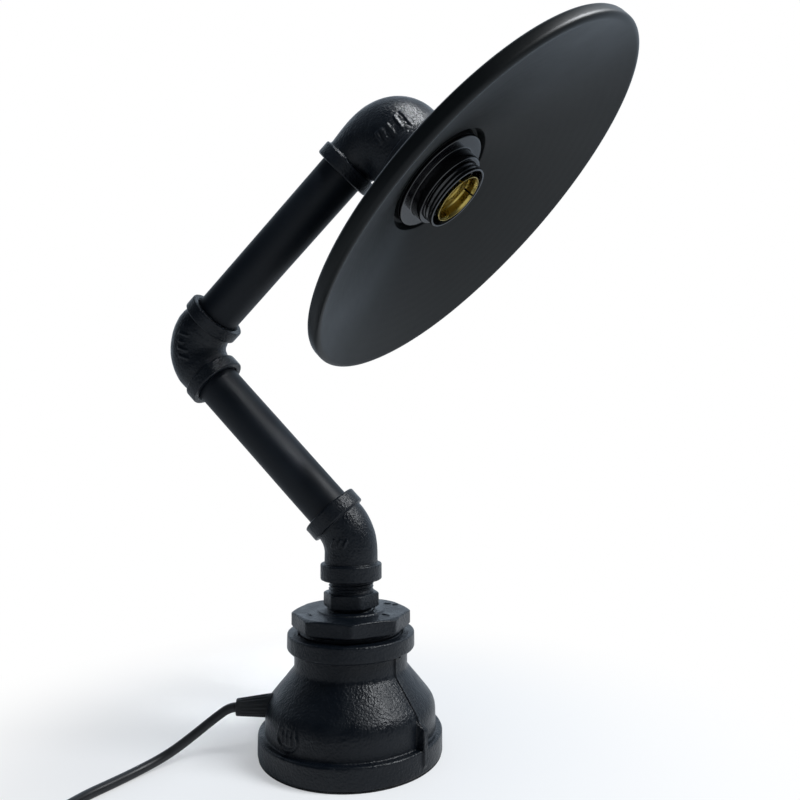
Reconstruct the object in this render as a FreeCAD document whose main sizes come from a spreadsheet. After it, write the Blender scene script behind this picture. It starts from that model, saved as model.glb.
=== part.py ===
"""Industrial pipe table lamp: a parametric document of every separate piece.

Frame: +Z up, the table is z = 0 and the base stands on the Z axis.  The lower pipe leans
towards -X and the shade hangs over +X.  All lengths are millimetres, all angles degrees.
"""
import FreeCAD
import Part
import math
import os
import Sketcher

doc = FreeCAD.newDocument("pipe_table_lamp")
dims = doc.addObject("Spreadsheet::Sheet", "dims")
nodes = []


# ---------------------------------------------------------------- driving dimensions
DIMENSIONS = {
    # Three-quarter inch pipe and what screws on to it
    "pipe_diameter": 26.9,  # pipe outside diameter
    "pipe_wall": 2.6,  # pipe wall
    "lower_pipe_length": 128.4,  # lower pipe, end to end
    "upper_pipe_length": 137.9,  # upper pipe, end to end
    "engagement": 12,  # length of pipe inside a fitting
    "running_gap": 0.05,  # radial clearance in every threaded joint
    "body_gap": 0.3,  # end clearance between pieces that turn on each other
    "mouth_chamfer": 1.2,  # countersink at a threaded mouth
    "band_length": 9.4,  # length of the reinforcing bands of the arm elbows
    "band_edge": 1.2,  # bevel on the edges of a band
    # Elbows of the arm
    "fitting_wall": 3.6,  # casting wall of the arm elbows
    "passage_step": 0.8,  # step between the bend and the straight in a passage
    "elbow45_turn": 42.9,  # turn of the lower elbow, a 45 degree casting that closes a little
    "elbow45_bend": 27,  # centre line radius of the lower elbow
    "elbow45_neck_in": 6.2,  # straight between its bend and its lower band
    "elbow45_neck_out": 0.1,  # straight between its bend and its upper band
    "elbow45_body": 31.4,  # body diameter of the lower elbow
    "elbow45_band": 36.2,  # band diameter of the lower elbow
    "elbow90_bend": 19,  # centre line radius of the middle elbow
    "elbow90_neck": 2.2,  # straight between its bend and its bands
    "elbow90_body": 33.4,  # body diameter of the middle elbow
    "elbow90_band": 35.6,  # band diameter of the 90 degree elbows, small end
    "middle_twist": -9.4,  # turn of the upper arm about the lower pipe
    "head_twist": -2.6,  # turn of the head about the upper pipe
    # Reducing elbow that carries the lampholder
    "head_reach": 35.8,  # corner to face of the head elbow, pipe end
    "head_small_band": 8.5,  # band length of the head elbow, pipe end
    "head_leg": 31.4,  # body diameter of the head elbow, pipe end
    "head_heel": 31.6,  # diameter of the round heel at the corner
    "head_body": 50.6,  # body diameter of the head elbow, large end
    "head_dome_place": 15.2,  # centre of the dome from the corner
    "head_wall": 4,  # casting wall of the head elbow
    "head_band": 56.4,  # band diameter of the head elbow, large end
    "head_band_length": 11.2,  # band length of the head elbow, large end
    "head_face": 38.5,  # corner to face of the head elbow, large end
    "head_lead_bend": 15,  # bend of the lead in the head elbow
    # Base
    "pad_thickness": 1,  # foam pad under the base
    "pad_diameter": 105,  # foam pad diameter
    "base_band_diameter": 105.6,  # bottom band of the reducing coupling
    "base_band_height": 11.9,  # height of the bottom band
    "base_body_diameter": 98.1,  # cylinder above the bottom band
    "base_body_top": 22.3,  # top of that cylinder above the rim
    "base_slope": 39.6,  # slope of the cone from upright
    "base_shoulder": 12,  # radius of the shoulder under the cone
    "base_neck_diameter": 65.8,  # neck under the top band
    "base_neck_fillet": 4,  # fillet between cone and neck
    "base_neck_height": 8.8,  # height of the neck
    "base_top_band_diameter": 74.2,  # top band of the reducing coupling
    "base_top_band_height": 9.6,  # height of the top band
    "base_wall": 5,  # casting wall of the coupling
    "base_mouth_diameter": 87,  # bottom mouth of the coupling
    "base_mouth_depth": 18,  # depth of that mouth
    "rib_width": 3.6,  # width of the two upright ribs
    "rib_stand": 1.1,  # how far a rib stands out of the bottom band
    "rib_low": 5,  # foot of a rib above the rim
    "fin_width": 1.6,  # width of the parting fin above a rib
    "fin_stand": 0.8,  # how far that fin stands out of the cone and the neck
    "rib_azimuth": -30,  # direction of the ribs
    # Reducing bushing and hexagon nipple
    "bushing_thread": 59.6,  # large thread of the bushing
    "bushing_depth": 15,  # thread of the bushing inside the coupling
    "bushing_gap": 2.8,  # thread left bare between coupling and octagon
    "octagon_flats": 65,  # octagon across flats
    "octagon_height": 8.8,  # octagon height
    "octagon_bevel": 1.2,  # turned bevel on the octagon corners
    "boss_diameter": 39,  # raised boss round the hole of the bushing
    "boss_height": 0.8,  # height of that boss
    "bushing_socket": 16,  # depth of the small thread in the bushing
    "bushing_hollow": 44,  # hollow under the small thread
    "nipple_thread": 26.4,  # thread of the hexagon nipple
    "nipple_bore": 20,  # bore of the hexagon nipple
    "nipple_in_base": 12.7,  # length of the nipple inside the bushing
    "nipple_bare": 1.5,  # thread left bare between boss and hexagon
    "nipple_bare_top": 7.1,  # thread left bare between hexagon and lower elbow
    "hexagon_flats": 29.3,  # hexagon across flats
    "hexagon_height": 8.4,  # hexagon height
    # Cord and strain relief
    "cord_diameter": 5.2,  # mains cord, two cores in a round sheath
    "relief_azimuth": 196,  # direction in which the cord leaves the base
    "relief_height": 25.6,  # cord axis above the rim of the coupling
    "relief_root": 13,  # strain relief diameter at the base
    "relief_tip": 9.2,  # strain relief diameter at its end
    "relief_length": 20.6,  # strain relief outside the base
    "relief_seat": 4.3,  # depth of the spot face under the strain relief
    "relief_stem": 9.6,  # stem through the wall
    "relief_stem_length": 12,  # stem inside the spot face
    "relief_nut_flats": 14,  # nut across flats
    "relief_nut_height": 4,  # nut height
    "relief_nut_face": 38.5,  # face of the nut from the axis of the base
    "lead_bend_base": 20,  # bend of the lead under the nipple
    "lead_straight": 1,  # straight lead between a bend and a turning plane
    # Lampholder, counted along the shade axis from the head corner
    "cap_start": 18,  # rear face of the lampholder cap
    "cap_length": 8.2,  # cap behind the skirt
    "cap_wall": 2,  # wall of the cap
    "cap_boss": 14,  # diameter of the cable entry
    "cap_boss_length": 2.5,  # length of the cable entry
    "cap_spigot": 34.4,  # spigot of the cap inside the skirt
    "cap_spigot_length": 4,  # length of that spigot
    "holder_skirt": 39,  # lampholder diameter inside the elbow
    "holder_shoulder": 46,  # shoulder that the shade rests on
    "holder_shoulder_length": 8,  # length of the shoulder
    "holder_thread": 40,  # front thread of the lampholder
    "holder_thread_length": 18.2,  # length of the front thread
    "holder_bore": 34.6,  # rear bore of the lampholder
    "holder_front_bore": 31.6,  # front bore of the lampholder
    "holder_lip": 30,  # front opening of the lampholder
    "holder_lip_length": 2,  # thickness of the front rim
    "thread_pitch": 2.6,  # pitch of the front thread
    "thread_depth": 1,  # depth of the front thread
    "insert_length": 12,  # length of the insulating insert
    "insert_play": 0.1,  # end play of the insert
    "shell_diameter": 28.6,  # screw shell, outside
    "shell_wall": 0.6,  # screw shell wall
    "shell_seat": 2,  # depth of the shell in the insert
    "shell_length": 21.5,  # screw shell length
    "shell_neck": 27.4,  # drawn-in foot of the screw shell, outside
    "shell_neck_length": 2.7,  # length of that foot
    "shell_slot": 1.2,  # width of the slots of the screw shell
    "shell_slot_length": 7,  # length of the slots of the screw shell
    "contact_diameter": 8,  # centre contact
    "contact_height": 1.6,  # centre contact height
    "contact_stem": 3,  # stem of the centre contact
    "strip_width": 4,  # side contact width
    "strip_thickness": 0.8,  # side contact thickness
    "strip_stand": 2,  # side contact above the shell seat
    "terminal_length": 7,  # terminal block, radially
    "terminal_width": 5,  # terminal block, across
    "terminal_depth": 6,  # terminal block, along the axis
    "terminal_place": 7.5,  # terminal block from the axis
    "terminal_screw": 2.6,  # terminal screw diameter
    "terminal_head": 4.4,  # terminal screw head diameter
    "terminal_head_height": 1.5,  # terminal screw head height
    "case_screw": 3,  # diameter of the two long screws
    "case_screw_head": 5,  # head diameter of the long screws
    "case_screw_head_height": 1.6,  # head height of the long screws
    "case_screw_place": 11.5,  # long screws from the axis
    "case_screw_grip": 6,  # long screws inside the insert
    "core_diameter": 2,  # insulated core
    "core_place": 1.3,  # core from the axis where the sheath ends
    "sheath_end": 1,  # end of the sheath inside the cap
    "grub_diameter": 4,  # locking screw of the lampholder
    # Shade and its ring
    "shade_diameter": 231.8,  # shade diameter
    "shade_sheet": 0.9,  # sheet of the shade
    "shade_flat": 63,  # flat centre of the shade
    "shade_cone": 27.4,  # height of the cone of the shade
    "shade_lip": 6.9,  # depth of the straight lip
    "shade_play": 0.2,  # radial play of the shade on the lampholder
    "ring_flange": 60.8,  # flange of the shade ring
    "ring_flange_thickness": 2,  # flange thickness
    "ring_collar": 45.4,  # collar of the shade ring
    "ring_collar_length": 7.4,  # collar length
    # In-line switch, its middle at switch_x, switch_y on the table
    "switch_x": -47,  # place of the switch, across the front
    "switch_y": -205,  # place of the switch, in front of the base
    "switch_length": 60,  # in-line switch length
    "switch_shoulder": 38,  # length of its straight sides
    "switch_width": 26,  # in-line switch width
    "switch_end": 13,  # in-line switch width at its ends
    "switch_height": 15,  # in-line switch height
    "switch_split": 7,  # height of the lower shell and of the cord there
    "switch_wall": 1.6,  # floor and roof of the switch shells
    "switch_room": 42,  # length of the room inside
    "switch_room_width": 15,  # width of the room inside
    "window_length": 16,  # rocker window length
    "rocker_width": 8.2,  # rocker width
    "rocker_play": 0.4,  # gap beside the rocker
    "rocker_half": 7.2,  # rocker, pin to end
    "rocker_axis": 11.6,  # height of the rocker pin
    "rocker_tilt": 8,  # tilt of the rocker at rest
    "rocker_end": 4.2,  # rocker end above its pin
    "rocker_dip": 2.6,  # rocker middle above its pin
    "rocker_skirt": 1.5,  # rocker below its pin
    "rocker_pin": 2,  # rocker pin diameter
    "cheek": 2.3,  # thickness of the cheeks that hold the pin
    "cheek_length": 6,  # length of those cheeks
    "switch_screw": 2.6,  # switch screw diameter
    "switch_screw_head": 4.6,  # switch screw head
    "switch_screw_head_height": 1.4,  # switch screw head height
    "switch_screw_sunk": 0.8,  # switch screw head below the underside
    "switch_screw_length": 9.5,  # switch screw under its head
    "switch_screw_x": 14,  # switch screws from the middle, along
    "switch_screw_y": 10.2,  # switch screws from the middle, across
    "clamp_length": 8,  # brass terminal in the switch, length
    "clamp_width": 6,  # brass terminal in the switch, width
    "clamp_height": 5,  # brass terminal in the switch, height
    "clamp_place": 15,  # brass terminals from the middle
    "blade_length": 18,  # contact blade length
    "blade_width": 5,  # contact blade width
    "blade_thickness": 0.6,  # contact blade thickness
    "blade_gap": 0.3,  # contact blade under the rocker
    "blade_post": 6,  # length of the post under the blade
    # Coil and plug
    "coil_x": -62,  # place of the coil, across the front
    "coil_y": -141,  # place of the coil, in front of the base
    "coil_outside": 84,  # coil diameter outside
    "coil_inside": 39.8,  # coil diameter inside
    "plug_x": -6,  # place of the plug body's rear face, across
    "plug_y": -179,  # place of the plug body, in front of the base
    "plug_length": 36,  # plug body length
    "plug_width": 26,  # plug body width
    "plug_nose": 20,  # plug body width at its rear
    "plug_thickness": 13.7,  # plug body thickness
    "plug_sleeve": 18,  # length of the plug's cord sleeve
    "plug_sleeve_root": 9.4,  # plug's cord sleeve at the body
    "plug_sleeve_tip": 7.2,  # plug's cord sleeve at the cord
    "pin_diameter": 4,  # plug pin diameter
    "pin_length": 19,  # plug pin length outside the body
    "pin_root": 8,  # pin inside the plug body
    "pin_root_diameter": 3,  # pin inside the plug body, diameter
    "pin_spacing": 18.6,  # distance between the plug pins
}
for row, (alias, number) in enumerate(DIMENSIONS.items(), 1):
    dims.set(f"A{row}", alias.replace("_", " "))
    dims.set(f"B{row}", str(number))
    dims.setAlias(f"B{row}", alias)
doc.recompute()


# ---------------------------------------------------------------- expressions
def value(expression):
    """Number that an expression on the sheet gives now."""
    result = dims.evalExpression(expression)
    return float(getattr(result, "Value", result))


def shift(x, y, z):
    """Placement that moves without turning."""
    return f"placement(vector({x};{y};{z});rotation(vector(0;0;1);0))"


def rise(z):
    """Placement that moves along the local Z axis."""
    return shift(0, 0, z)


def turn(axis, angle):
    """Placement that turns about one local axis: "x", "y" or "z"."""
    vector = {"x": "1;0;0", "y": "0;1;0", "z": "0;0;1"}[axis]
    return f"placement(vector(0;0;0);rotation(vector({vector});{angle}))"


def chain(*steps):
    """Placements one after the other, each in the frame that the last one left."""
    return " * ".join(steps)


def on(node, *steps):
    """Placement counted from a piece that is already there."""
    return chain(f"{node}.Placement", *steps)


def half(alias):
    """Half of a sheet value, a radius from its diameter."""
    return f"dims.{alias} / 2"


# ---------------------------------------------------------------- building blocks
def origin_plane(body, role):
    """One of the origin planes of a body, found by its role."""
    for feature in body.Origin.OriginFeatures:
        if feature.Role == role:
            return feature
    raise ValueError(role)


def outline_edge(here, there, bend):
    """Straight edge, or an arc that bulges out of the outline (or into it, if the bend is
    negative), with the numbers of its first and last points."""
    start = FreeCAD.Vector(*here, 0)
    end = FreeCAD.Vector(*there, 0)
    if bend == 0:
        return Part.LineSegment(start, end), 1, 2
    first, last = (start, end) if bend > 0 else (end, start)
    chord = last - first
    inward = FreeCAD.Vector(-chord.y, chord.x, 0).normalize()
    depth = math.sqrt(max(bend * bend - chord.Length ** 2 / 4, 0))
    centre = (first + last) / 2 + inward * depth
    circle = Part.Circle(centre, FreeCAD.Vector(0, 0, 1), abs(bend))
    arc = Part.ArcOfCircle(circle, circle.parameter(first), circle.parameter(last))
    return (arc, 1, 2) if bend > 0 else (arc, 2, 1)


def closed_sketch(body, name, plane, outline):
    """Closed sketch, anticlockwise.  Each corner is a pair of expressions; a third one makes
    the edge that leaves it an arc of that radius."""
    sketch = body.newObject("Sketcher::SketchObject", name)
    sketch.AttachmentSupport = [(origin_plane(body, plane), "")]
    sketch.MapMode = "FlatFace"
    corners = [(value(corner[0]), value(corner[1])) for corner in outline]
    count = len(outline)
    ends = []
    for index, corner in enumerate(outline):
        bend = value(corner[2]) if len(corner) > 2 else 0
        edge, first, last = outline_edge(corners[index], corners[(index + 1) % count], bend)
        sketch.addGeometry(edge, False)
        ends.append((first, last))
    for index in range(count):
        after = (index + 1) % count
        joint = Sketcher.Constraint("Coincident", index, ends[index][1], after, ends[after][0])
        sketch.addConstraint(joint)
    for index, corner in enumerate(outline):
        first = ends[index][0]
        for kind, axis, expression, number in (("DistanceX", -2, corner[0], corners[index][0]),
                                               ("DistanceY", -1, corner[1], corners[index][1])):
            if expression == "0":
                sketch.addConstraint(Sketcher.Constraint("PointOnObject", index, first, axis))
                continue
            rule = Sketcher.Constraint(kind, -1, 1, index, first, number)
            sketch.setExpression(f"Constraints[{sketch.addConstraint(rule)}]", expression)
        if len(corner) > 2:
            rule = Sketcher.Constraint("Radius", index, abs(value(corner[2])))
            sketch.setExpression(f"Constraints[{sketch.addConstraint(rule)}]", f"abs({corner[2]})")
    return sketch


def lathe(name, outline, seat=None):
    """Turned piece: an outline of (radius, height) corners revolved about local Z."""
    body = doc.addObject("PartDesign::Body", name)
    sketch = closed_sketch(body, name + "_outline", "XZ_Plane", outline)
    revolve = body.newObject("PartDesign::Revolution", name + "_turned")
    revolve.Profile = sketch
    revolve.ReferenceAxis = (sketch, ["V_Axis"])
    revolve.Angle = 360
    if seat:
        body.setExpression("Placement", seat)
    return body


def slab(name, outline, height, seat=None):
    """Flat piece: an outline of (x, y) corners padded upwards by a height."""
    body = doc.addObject("PartDesign::Body", name)
    sketch = closed_sketch(body, name + "_outline", "XY_Plane", outline)
    pad = body.newObject("PartDesign::Pad", name + "_pad")
    pad.Profile = sketch
    pad.setExpression("Length", height)
    if seat:
        body.setExpression("Placement", seat)
    return body


def primitive(kind, name, seat, **sizes):
    """Part primitive whose sizes are expressions."""
    solid = doc.addObject("Part::" + kind, name)
    for prop, expression in sizes.items():
        solid.setExpression(prop, expression)
    if seat:
        solid.setExpression("Placement", seat)
    return solid


def rod(name, diameter, length, seat):
    """Round bar along local Z."""
    return primitive("Cylinder", name, seat, Radius=f"({diameter}) / 2", Height=length)


def block(name, length, width, height, seat):
    """Box centred on local Z in X and Y, standing on local z = 0."""
    centred = chain(seat, shift(f"-({length}) / 2", f"-({width}) / 2", 0))
    return primitive("Box", name, centred, Length=length, Width=width, Height=height)


def fuse(name, solids, seat=None):
    """Several solids joined into one."""
    joined = doc.addObject("Part::MultiFuse", name)
    joined.Shapes = solids
    if seat:
        joined.setExpression("Placement", seat)
    return joined


def cut(name, solid, tool, seat=None):
    """A solid less a tool."""
    rest = doc.addObject("Part::Cut", name)
    rest.Base = solid
    rest.Tool = tool
    if seat:
        rest.setExpression("Placement", seat)
    return rest


def common(name, solid, other, seat=None):
    """What two solids share."""
    shared = doc.addObject("Part::Common", name)
    shared.Base = solid
    shared.Tool = other
    if seat:
        shared.setExpression("Placement", seat)
    return shared


def group(name, solids):
    """Identical pieces that share one node, as separate solids."""
    compound = doc.addObject("Part::Compound", name)
    compound.Links = solids
    return compound


def node(piece):
    """Mark a finished piece: its name names its file."""
    nodes.append(piece)
    return piece


# ---------------------------------------------------------------- base
# A cast reducing coupling stands on its large end.  Heights below count from its rim,
# which the foam pad lifts off the table.
RIM = rise("dims.pad_thickness")
BODY = half("base_body_diameter")
NECK = half("base_neck_diameter")
BODY_TOP = "dims.base_body_top"
SHOULDER_IN = "dims.base_shoulder * (1 - cos(dims.base_slope))"
SHOULDER_UP = "dims.base_shoulder * sin(dims.base_slope)"
FILLET_OUT = "dims.base_neck_fillet * (1 - cos(dims.base_slope))"
FILLET_DOWN = "dims.base_neck_fillet * sin(dims.base_slope)"
CONE_RISE = f"({BODY} - {NECK} - {SHOULDER_IN} - {FILLET_OUT}) / tan(dims.base_slope)"
NECK_FOOT = f"({BODY_TOP} + {SHOULDER_UP} + {CONE_RISE} + {FILLET_DOWN})"
BAND_FOOT = f"({NECK_FOOT} + dims.base_neck_height)"
COUPLING_TOP = f"({BAND_FOOT} + dims.base_top_band_height)"
EDGE = "dims.band_edge"

pad = rod("base_pad", "dims.pad_diameter", "dims.pad_thickness", rise(0))
node(pad)

coupling_outside = lathe("coupling_outside", [
    ("0", "0"),
    (f"{half('base_band_diameter')} - {EDGE}", "0"),
    (half("base_band_diameter"), EDGE),
    (half("base_band_diameter"), f"dims.base_band_height - {EDGE}"),
    (f"{half('base_band_diameter')} - {EDGE}", "dims.base_band_height"),
    (BODY, "dims.base_band_height"),
    (BODY, BODY_TOP, "dims.base_shoulder"),
    (f"{BODY} - {SHOULDER_IN}", f"{BODY_TOP} + {SHOULDER_UP}"),
    (f"{NECK} + {FILLET_OUT}", f"{NECK_FOOT} - {FILLET_DOWN}", "-dims.base_neck_fillet"),
    (NECK, NECK_FOOT),
    (NECK, BAND_FOOT),
    (f"{half('base_top_band_diameter')} - {EDGE}", BAND_FOOT),
    (half("base_top_band_diameter"), f"{BAND_FOOT} + {EDGE}"),
    (half("base_top_band_diameter"), f"{COUPLING_TOP} - {EDGE}"),
    (f"{half('base_top_band_diameter')} - {EDGE}", COUPLING_TOP),
    ("0", COUPLING_TOP),
])
THREAD_HOLE = f"({half('bushing_thread')} + dims.running_gap)"
SOCKET_FLOOR = f"({COUPLING_TOP} - dims.bushing_depth - dims.body_gap)"
coupling_inside = lathe("coupling_inside", [
    ("0", "0"),
    (half("base_mouth_diameter"), "0"),
    (half("base_mouth_diameter"), "dims.base_mouth_depth"),
    (f"{NECK} - dims.base_wall", f"{SOCKET_FLOOR} - dims.base_wall / 2"),
    (f"{NECK} - dims.base_wall", SOCKET_FLOOR),
    (THREAD_HOLE, SOCKET_FLOOR),
    (THREAD_HOLE, f"{COUPLING_TOP} - dims.mouth_chamfer"),
    (f"{THREAD_HOLE} + dims.mouth_chamfer", COUPLING_TOP),
    ("0", COUPLING_TOP),
])

# Two upright ribs, cast opposite each other for the fitter's wrench, each with a thin parting
# fin that runs on up the cone and the neck.
SHOULDER = (f"{BODY} - {SHOULDER_IN}", f"{BODY_TOP} + {SHOULDER_UP}")
rib_outline = [
    (f"{BODY} - dims.base_wall / 2", "dims.rib_low"),
    (f"{half('base_band_diameter')} + dims.rib_stand", "dims.rib_low"),
    (f"{half('base_band_diameter')} + dims.rib_stand", f"{BODY_TOP} - {EDGE}"),
    SHOULDER,
    (f"{BODY} - dims.base_wall / 2", BODY_TOP),
]
fin_outline = [
    (f"{BODY} + dims.fin_stand", BODY_TOP),
    (f"{SHOULDER[0]} + dims.fin_stand", SHOULDER[1]),
    (f"{NECK} + {FILLET_OUT} + dims.fin_stand", f"{NECK_FOOT} - {FILLET_DOWN}"),
    (f"{NECK} + dims.fin_stand", NECK_FOOT),
    (f"{NECK} + dims.fin_stand", f"{BAND_FOOT} + {EDGE}"),
    (f"{NECK} - dims.fin_stand", f"{BAND_FOOT} + {EDGE}"),
    (f"{SHOULDER[0]} - dims.base_wall / 2", BODY_TOP),
]
ribs = []
for side in (0, 1):
    for kind, rib_line in (("rib", rib_outline), ("fin", fin_outline)):
        rib_seat = chain(turn("z", f"dims.rib_azimuth + {180 * side}"), turn("x", 90),
                         rise(f"-dims.{kind}_width / 2"))
        ribs.append(slab(f"{kind}_{side}", rib_line, f"dims.{kind}_width", rib_seat))

# Spot face and hole for the strain relief.
RELIEF_FACE = f"({half('base_body_diameter')} - dims.relief_seat)"
RELIEF = chain(RIM, turn("z", "dims.relief_azimuth"), rise("dims.relief_height"), turn("y", 90))
RELIEF_IN_COUPLING = chain(turn("z", "dims.relief_azimuth"), rise("dims.relief_height"), turn("y", 90))
spot_face = rod("spot_face", "dims.relief_root + 4 * dims.running_gap", "dims.relief_length",
                chain(RELIEF_IN_COUPLING, rise(RELIEF_FACE)))
relief_hole = rod("relief_hole", "dims.relief_stem + 2 * dims.running_gap", half("base_body_diameter"),
                  chain(RELIEF_IN_COUPLING, rise(f"{RELIEF_FACE} - dims.relief_stem_length")))
NUT_CORNER = "(dims.relief_nut_flats / 2 / cos(30))"
nut_room = rod("nut_room", f"2 * ({NUT_CORNER} + dims.body_gap)", "dims.relief_nut_face / 2",
               chain(RELIEF_IN_COUPLING, rise("dims.relief_nut_face / 2")))

coupling_blank = fuse("coupling_blank", [coupling_outside, *ribs])
coupling_tools = fuse("coupling_tools", [coupling_inside, spot_face, relief_hole, nut_room])
node(cut("reducing_coupling", coupling_blank, coupling_tools, RIM))

# ---------------------------------------------------------------- reducing bushing
# Its large thread goes down into the coupling; local z = 0 is the foot of that thread.
OCTAGON_FOOT = "(dims.bushing_depth + dims.bushing_gap)"
OCTAGON_TOP = f"({OCTAGON_FOOT} + dims.octagon_height)"
BOSS_TOP = f"({OCTAGON_TOP} + dims.boss_height)"
OCTAGON_RADIUS = "(dims.octagon_flats / 2 / cos(22.5))"
NIPPLE_HOLE = f"({half('nipple_thread')} + dims.running_gap)"
bushing_seat = on("reducing_coupling", rise(f"{COUPLING_TOP} - dims.bushing_depth"))

octagon = primitive("Prism", "octagon", chain(rise(OCTAGON_FOOT), turn("z", "dims.rib_azimuth - 3")),
                    Circumradius=OCTAGON_RADIUS, Height="dims.octagon_height")
octagon.Polygon = 8
octagon_bevels = lathe("octagon_bevels", [
    ("0", OCTAGON_FOOT),
    (f"{OCTAGON_RADIUS} - 2 * dims.octagon_bevel", OCTAGON_FOOT),
    (f"{OCTAGON_RADIUS} + 0.2 * dims.octagon_bevel", f"{OCTAGON_FOOT} + dims.octagon_bevel"),
    (f"{OCTAGON_RADIUS} + 0.2 * dims.octagon_bevel", f"{OCTAGON_TOP} - dims.octagon_bevel"),
    (f"{OCTAGON_RADIUS} - 2 * dims.octagon_bevel", OCTAGON_TOP),
    ("0", OCTAGON_TOP),
])
octagon_turned = common("octagon_turned", octagon, octagon_bevels)
bushing_thread = rod("bushing_thread", "dims.bushing_thread",
                     f"{OCTAGON_FOOT} + dims.octagon_height / 2", rise(0))
bushing_boss = rod("bushing_boss", "dims.boss_diameter", f"dims.boss_height + dims.octagon_height / 2",
                   rise(f"{OCTAGON_TOP} - dims.octagon_height / 2"))
bushing_hollow = lathe("bushing_hollow", [
    ("0", "0"),
    (half("bushing_hollow"), "0"),
    (half("bushing_hollow"), f"{BOSS_TOP} - dims.bushing_socket - dims.body_gap"),
    (NIPPLE_HOLE, f"{BOSS_TOP} - dims.bushing_socket + dims.body_gap"),
    (NIPPLE_HOLE, f"{BOSS_TOP} - dims.mouth_chamfer"),
    (f"{NIPPLE_HOLE} + dims.mouth_chamfer", BOSS_TOP),
    ("0", BOSS_TOP),
])
bushing_blank = fuse("bushing_blank", [octagon_turned, bushing_thread, bushing_boss])
node(cut("octagon_bushing", bushing_blank, bushing_hollow, bushing_seat))

# ---------------------------------------------------------------- hexagon nipple
# Its upper thread is the pin that the whole arm swivels on; z = 0 is its lower end.
HEX_FOOT = "(dims.nipple_in_base + dims.nipple_bare)"
HEX_TOP = f"({HEX_FOOT} + dims.hexagon_height)"
HEX_RADIUS = "(dims.hexagon_flats / 2 / cos(30))"
TANGENT_45 = "dims.elbow45_bend * tan(dims.elbow45_turn / 2)"
REACH_45_IN = f"({TANGENT_45} + dims.elbow45_neck_in + dims.band_length)"
REACH_45_OUT = f"({TANGENT_45} + dims.elbow45_neck_out + dims.band_length)"
REACH_90 = "(dims.elbow90_bend + dims.elbow90_neck + dims.band_length)"
BOSS_HEIGHT_Z = f"(dims.pad_thickness + {COUPLING_TOP} - dims.bushing_depth + {BOSS_TOP})"
NIPPLE_FOOT_Z = f"({BOSS_HEIGHT_Z} - dims.nipple_in_base)"
ARM_FACE_Z = f"({NIPPLE_FOOT_Z} + {HEX_TOP} + dims.nipple_bare_top)"
CORNER_45_Z = f"({ARM_FACE_Z} + {REACH_45_IN})"
NIPPLE_LENGTH = f"({ARM_FACE_Z} + dims.engagement - {NIPPLE_FOOT_Z})"
nipple_seat = on("octagon_bushing", rise(f"{BOSS_TOP} - dims.nipple_in_base"))

hexagon = primitive("Prism", "hexagon", chain(rise(HEX_FOOT), turn("z", "dims.rib_azimuth - 30")),
                    Circumradius=HEX_RADIUS, Height="dims.hexagon_height")
hexagon.Polygon = 6
hexagon_bevels = lathe("hexagon_bevels", [
    ("0", HEX_FOOT),
    (f"{HEX_RADIUS} - 1.2 * dims.octagon_bevel", HEX_FOOT),
    (f"{HEX_RADIUS} + 0.2 * dims.octagon_bevel", f"{HEX_FOOT} + dims.octagon_bevel"),
    (f"{HEX_RADIUS} + 0.2 * dims.octagon_bevel", f"{HEX_TOP} - dims.octagon_bevel"),
    (f"{HEX_RADIUS} - 1.2 * dims.octagon_bevel", HEX_TOP),
    ("0", HEX_TOP),
])
hexagon_turned = common("hexagon_turned", hexagon, hexagon_bevels)
nipple_threads = rod("nipple_threads", "dims.nipple_thread", NIPPLE_LENGTH, rise(0))
nipple_blank = fuse("nipple_blank", [hexagon_turned, nipple_threads])
nipple_bore = rod("nipple_bore", "dims.nipple_bore", NIPPLE_LENGTH, rise(0))
node(cut("hex_nipple", nipple_blank, nipple_bore, nipple_seat))


# ---------------------------------------------------------------- elbows of the arm
def port(name, face, band, body, start, length, seat):
    """Outside of one end of a fitting: leg and band, local z = 0 at the fitting's corner."""
    return lathe(name, [
        ("0", start),
        (f"({body}) / 2", start),
        (f"({body}) / 2", f"{face} - {length}"),
        (f"({band}) / 2 - {EDGE}", f"{face} - {length}"),
        (f"({band}) / 2", f"{face} - {length} + {EDGE}"),
        (f"({band}) / 2", f"{face} - {EDGE}"),
        (f"({band}) / 2 - {EDGE}", face),
        ("0", face),
    ], seat)


def socket(name, face, hole, passage, start, seat):
    """Inside of one end of a fitting: passage, then the threaded socket and its countersink."""
    floor = f"{face} - dims.engagement - dims.body_gap"
    return lathe(name, [
        ("0", start),
        (passage, start),
        (passage, floor),
        (hole, floor),
        (hole, f"{face} - dims.mouth_chamfer"),
        (f"{hole} + dims.mouth_chamfer", face),
        ("0", face),
    ], seat)


def bend(name, centre_line, radius, angle):
    """Part of a ring from the -Z leg towards +X, the corner of the two legs at the origin."""
    ring = primitive("Torus", name, None, Radius1=centre_line, Radius2=radius, Angle3=angle)
    ring.Angle1 = -180
    ring.Angle2 = 180
    drop = f"-({centre_line}) * tan(({angle}) / 2)"
    ring.setExpression("Placement", f"placement(vector({centre_line};0;{drop});rotation(vector(0;1;1);180))")
    return ring


INLET = turn("x", 180)


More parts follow.
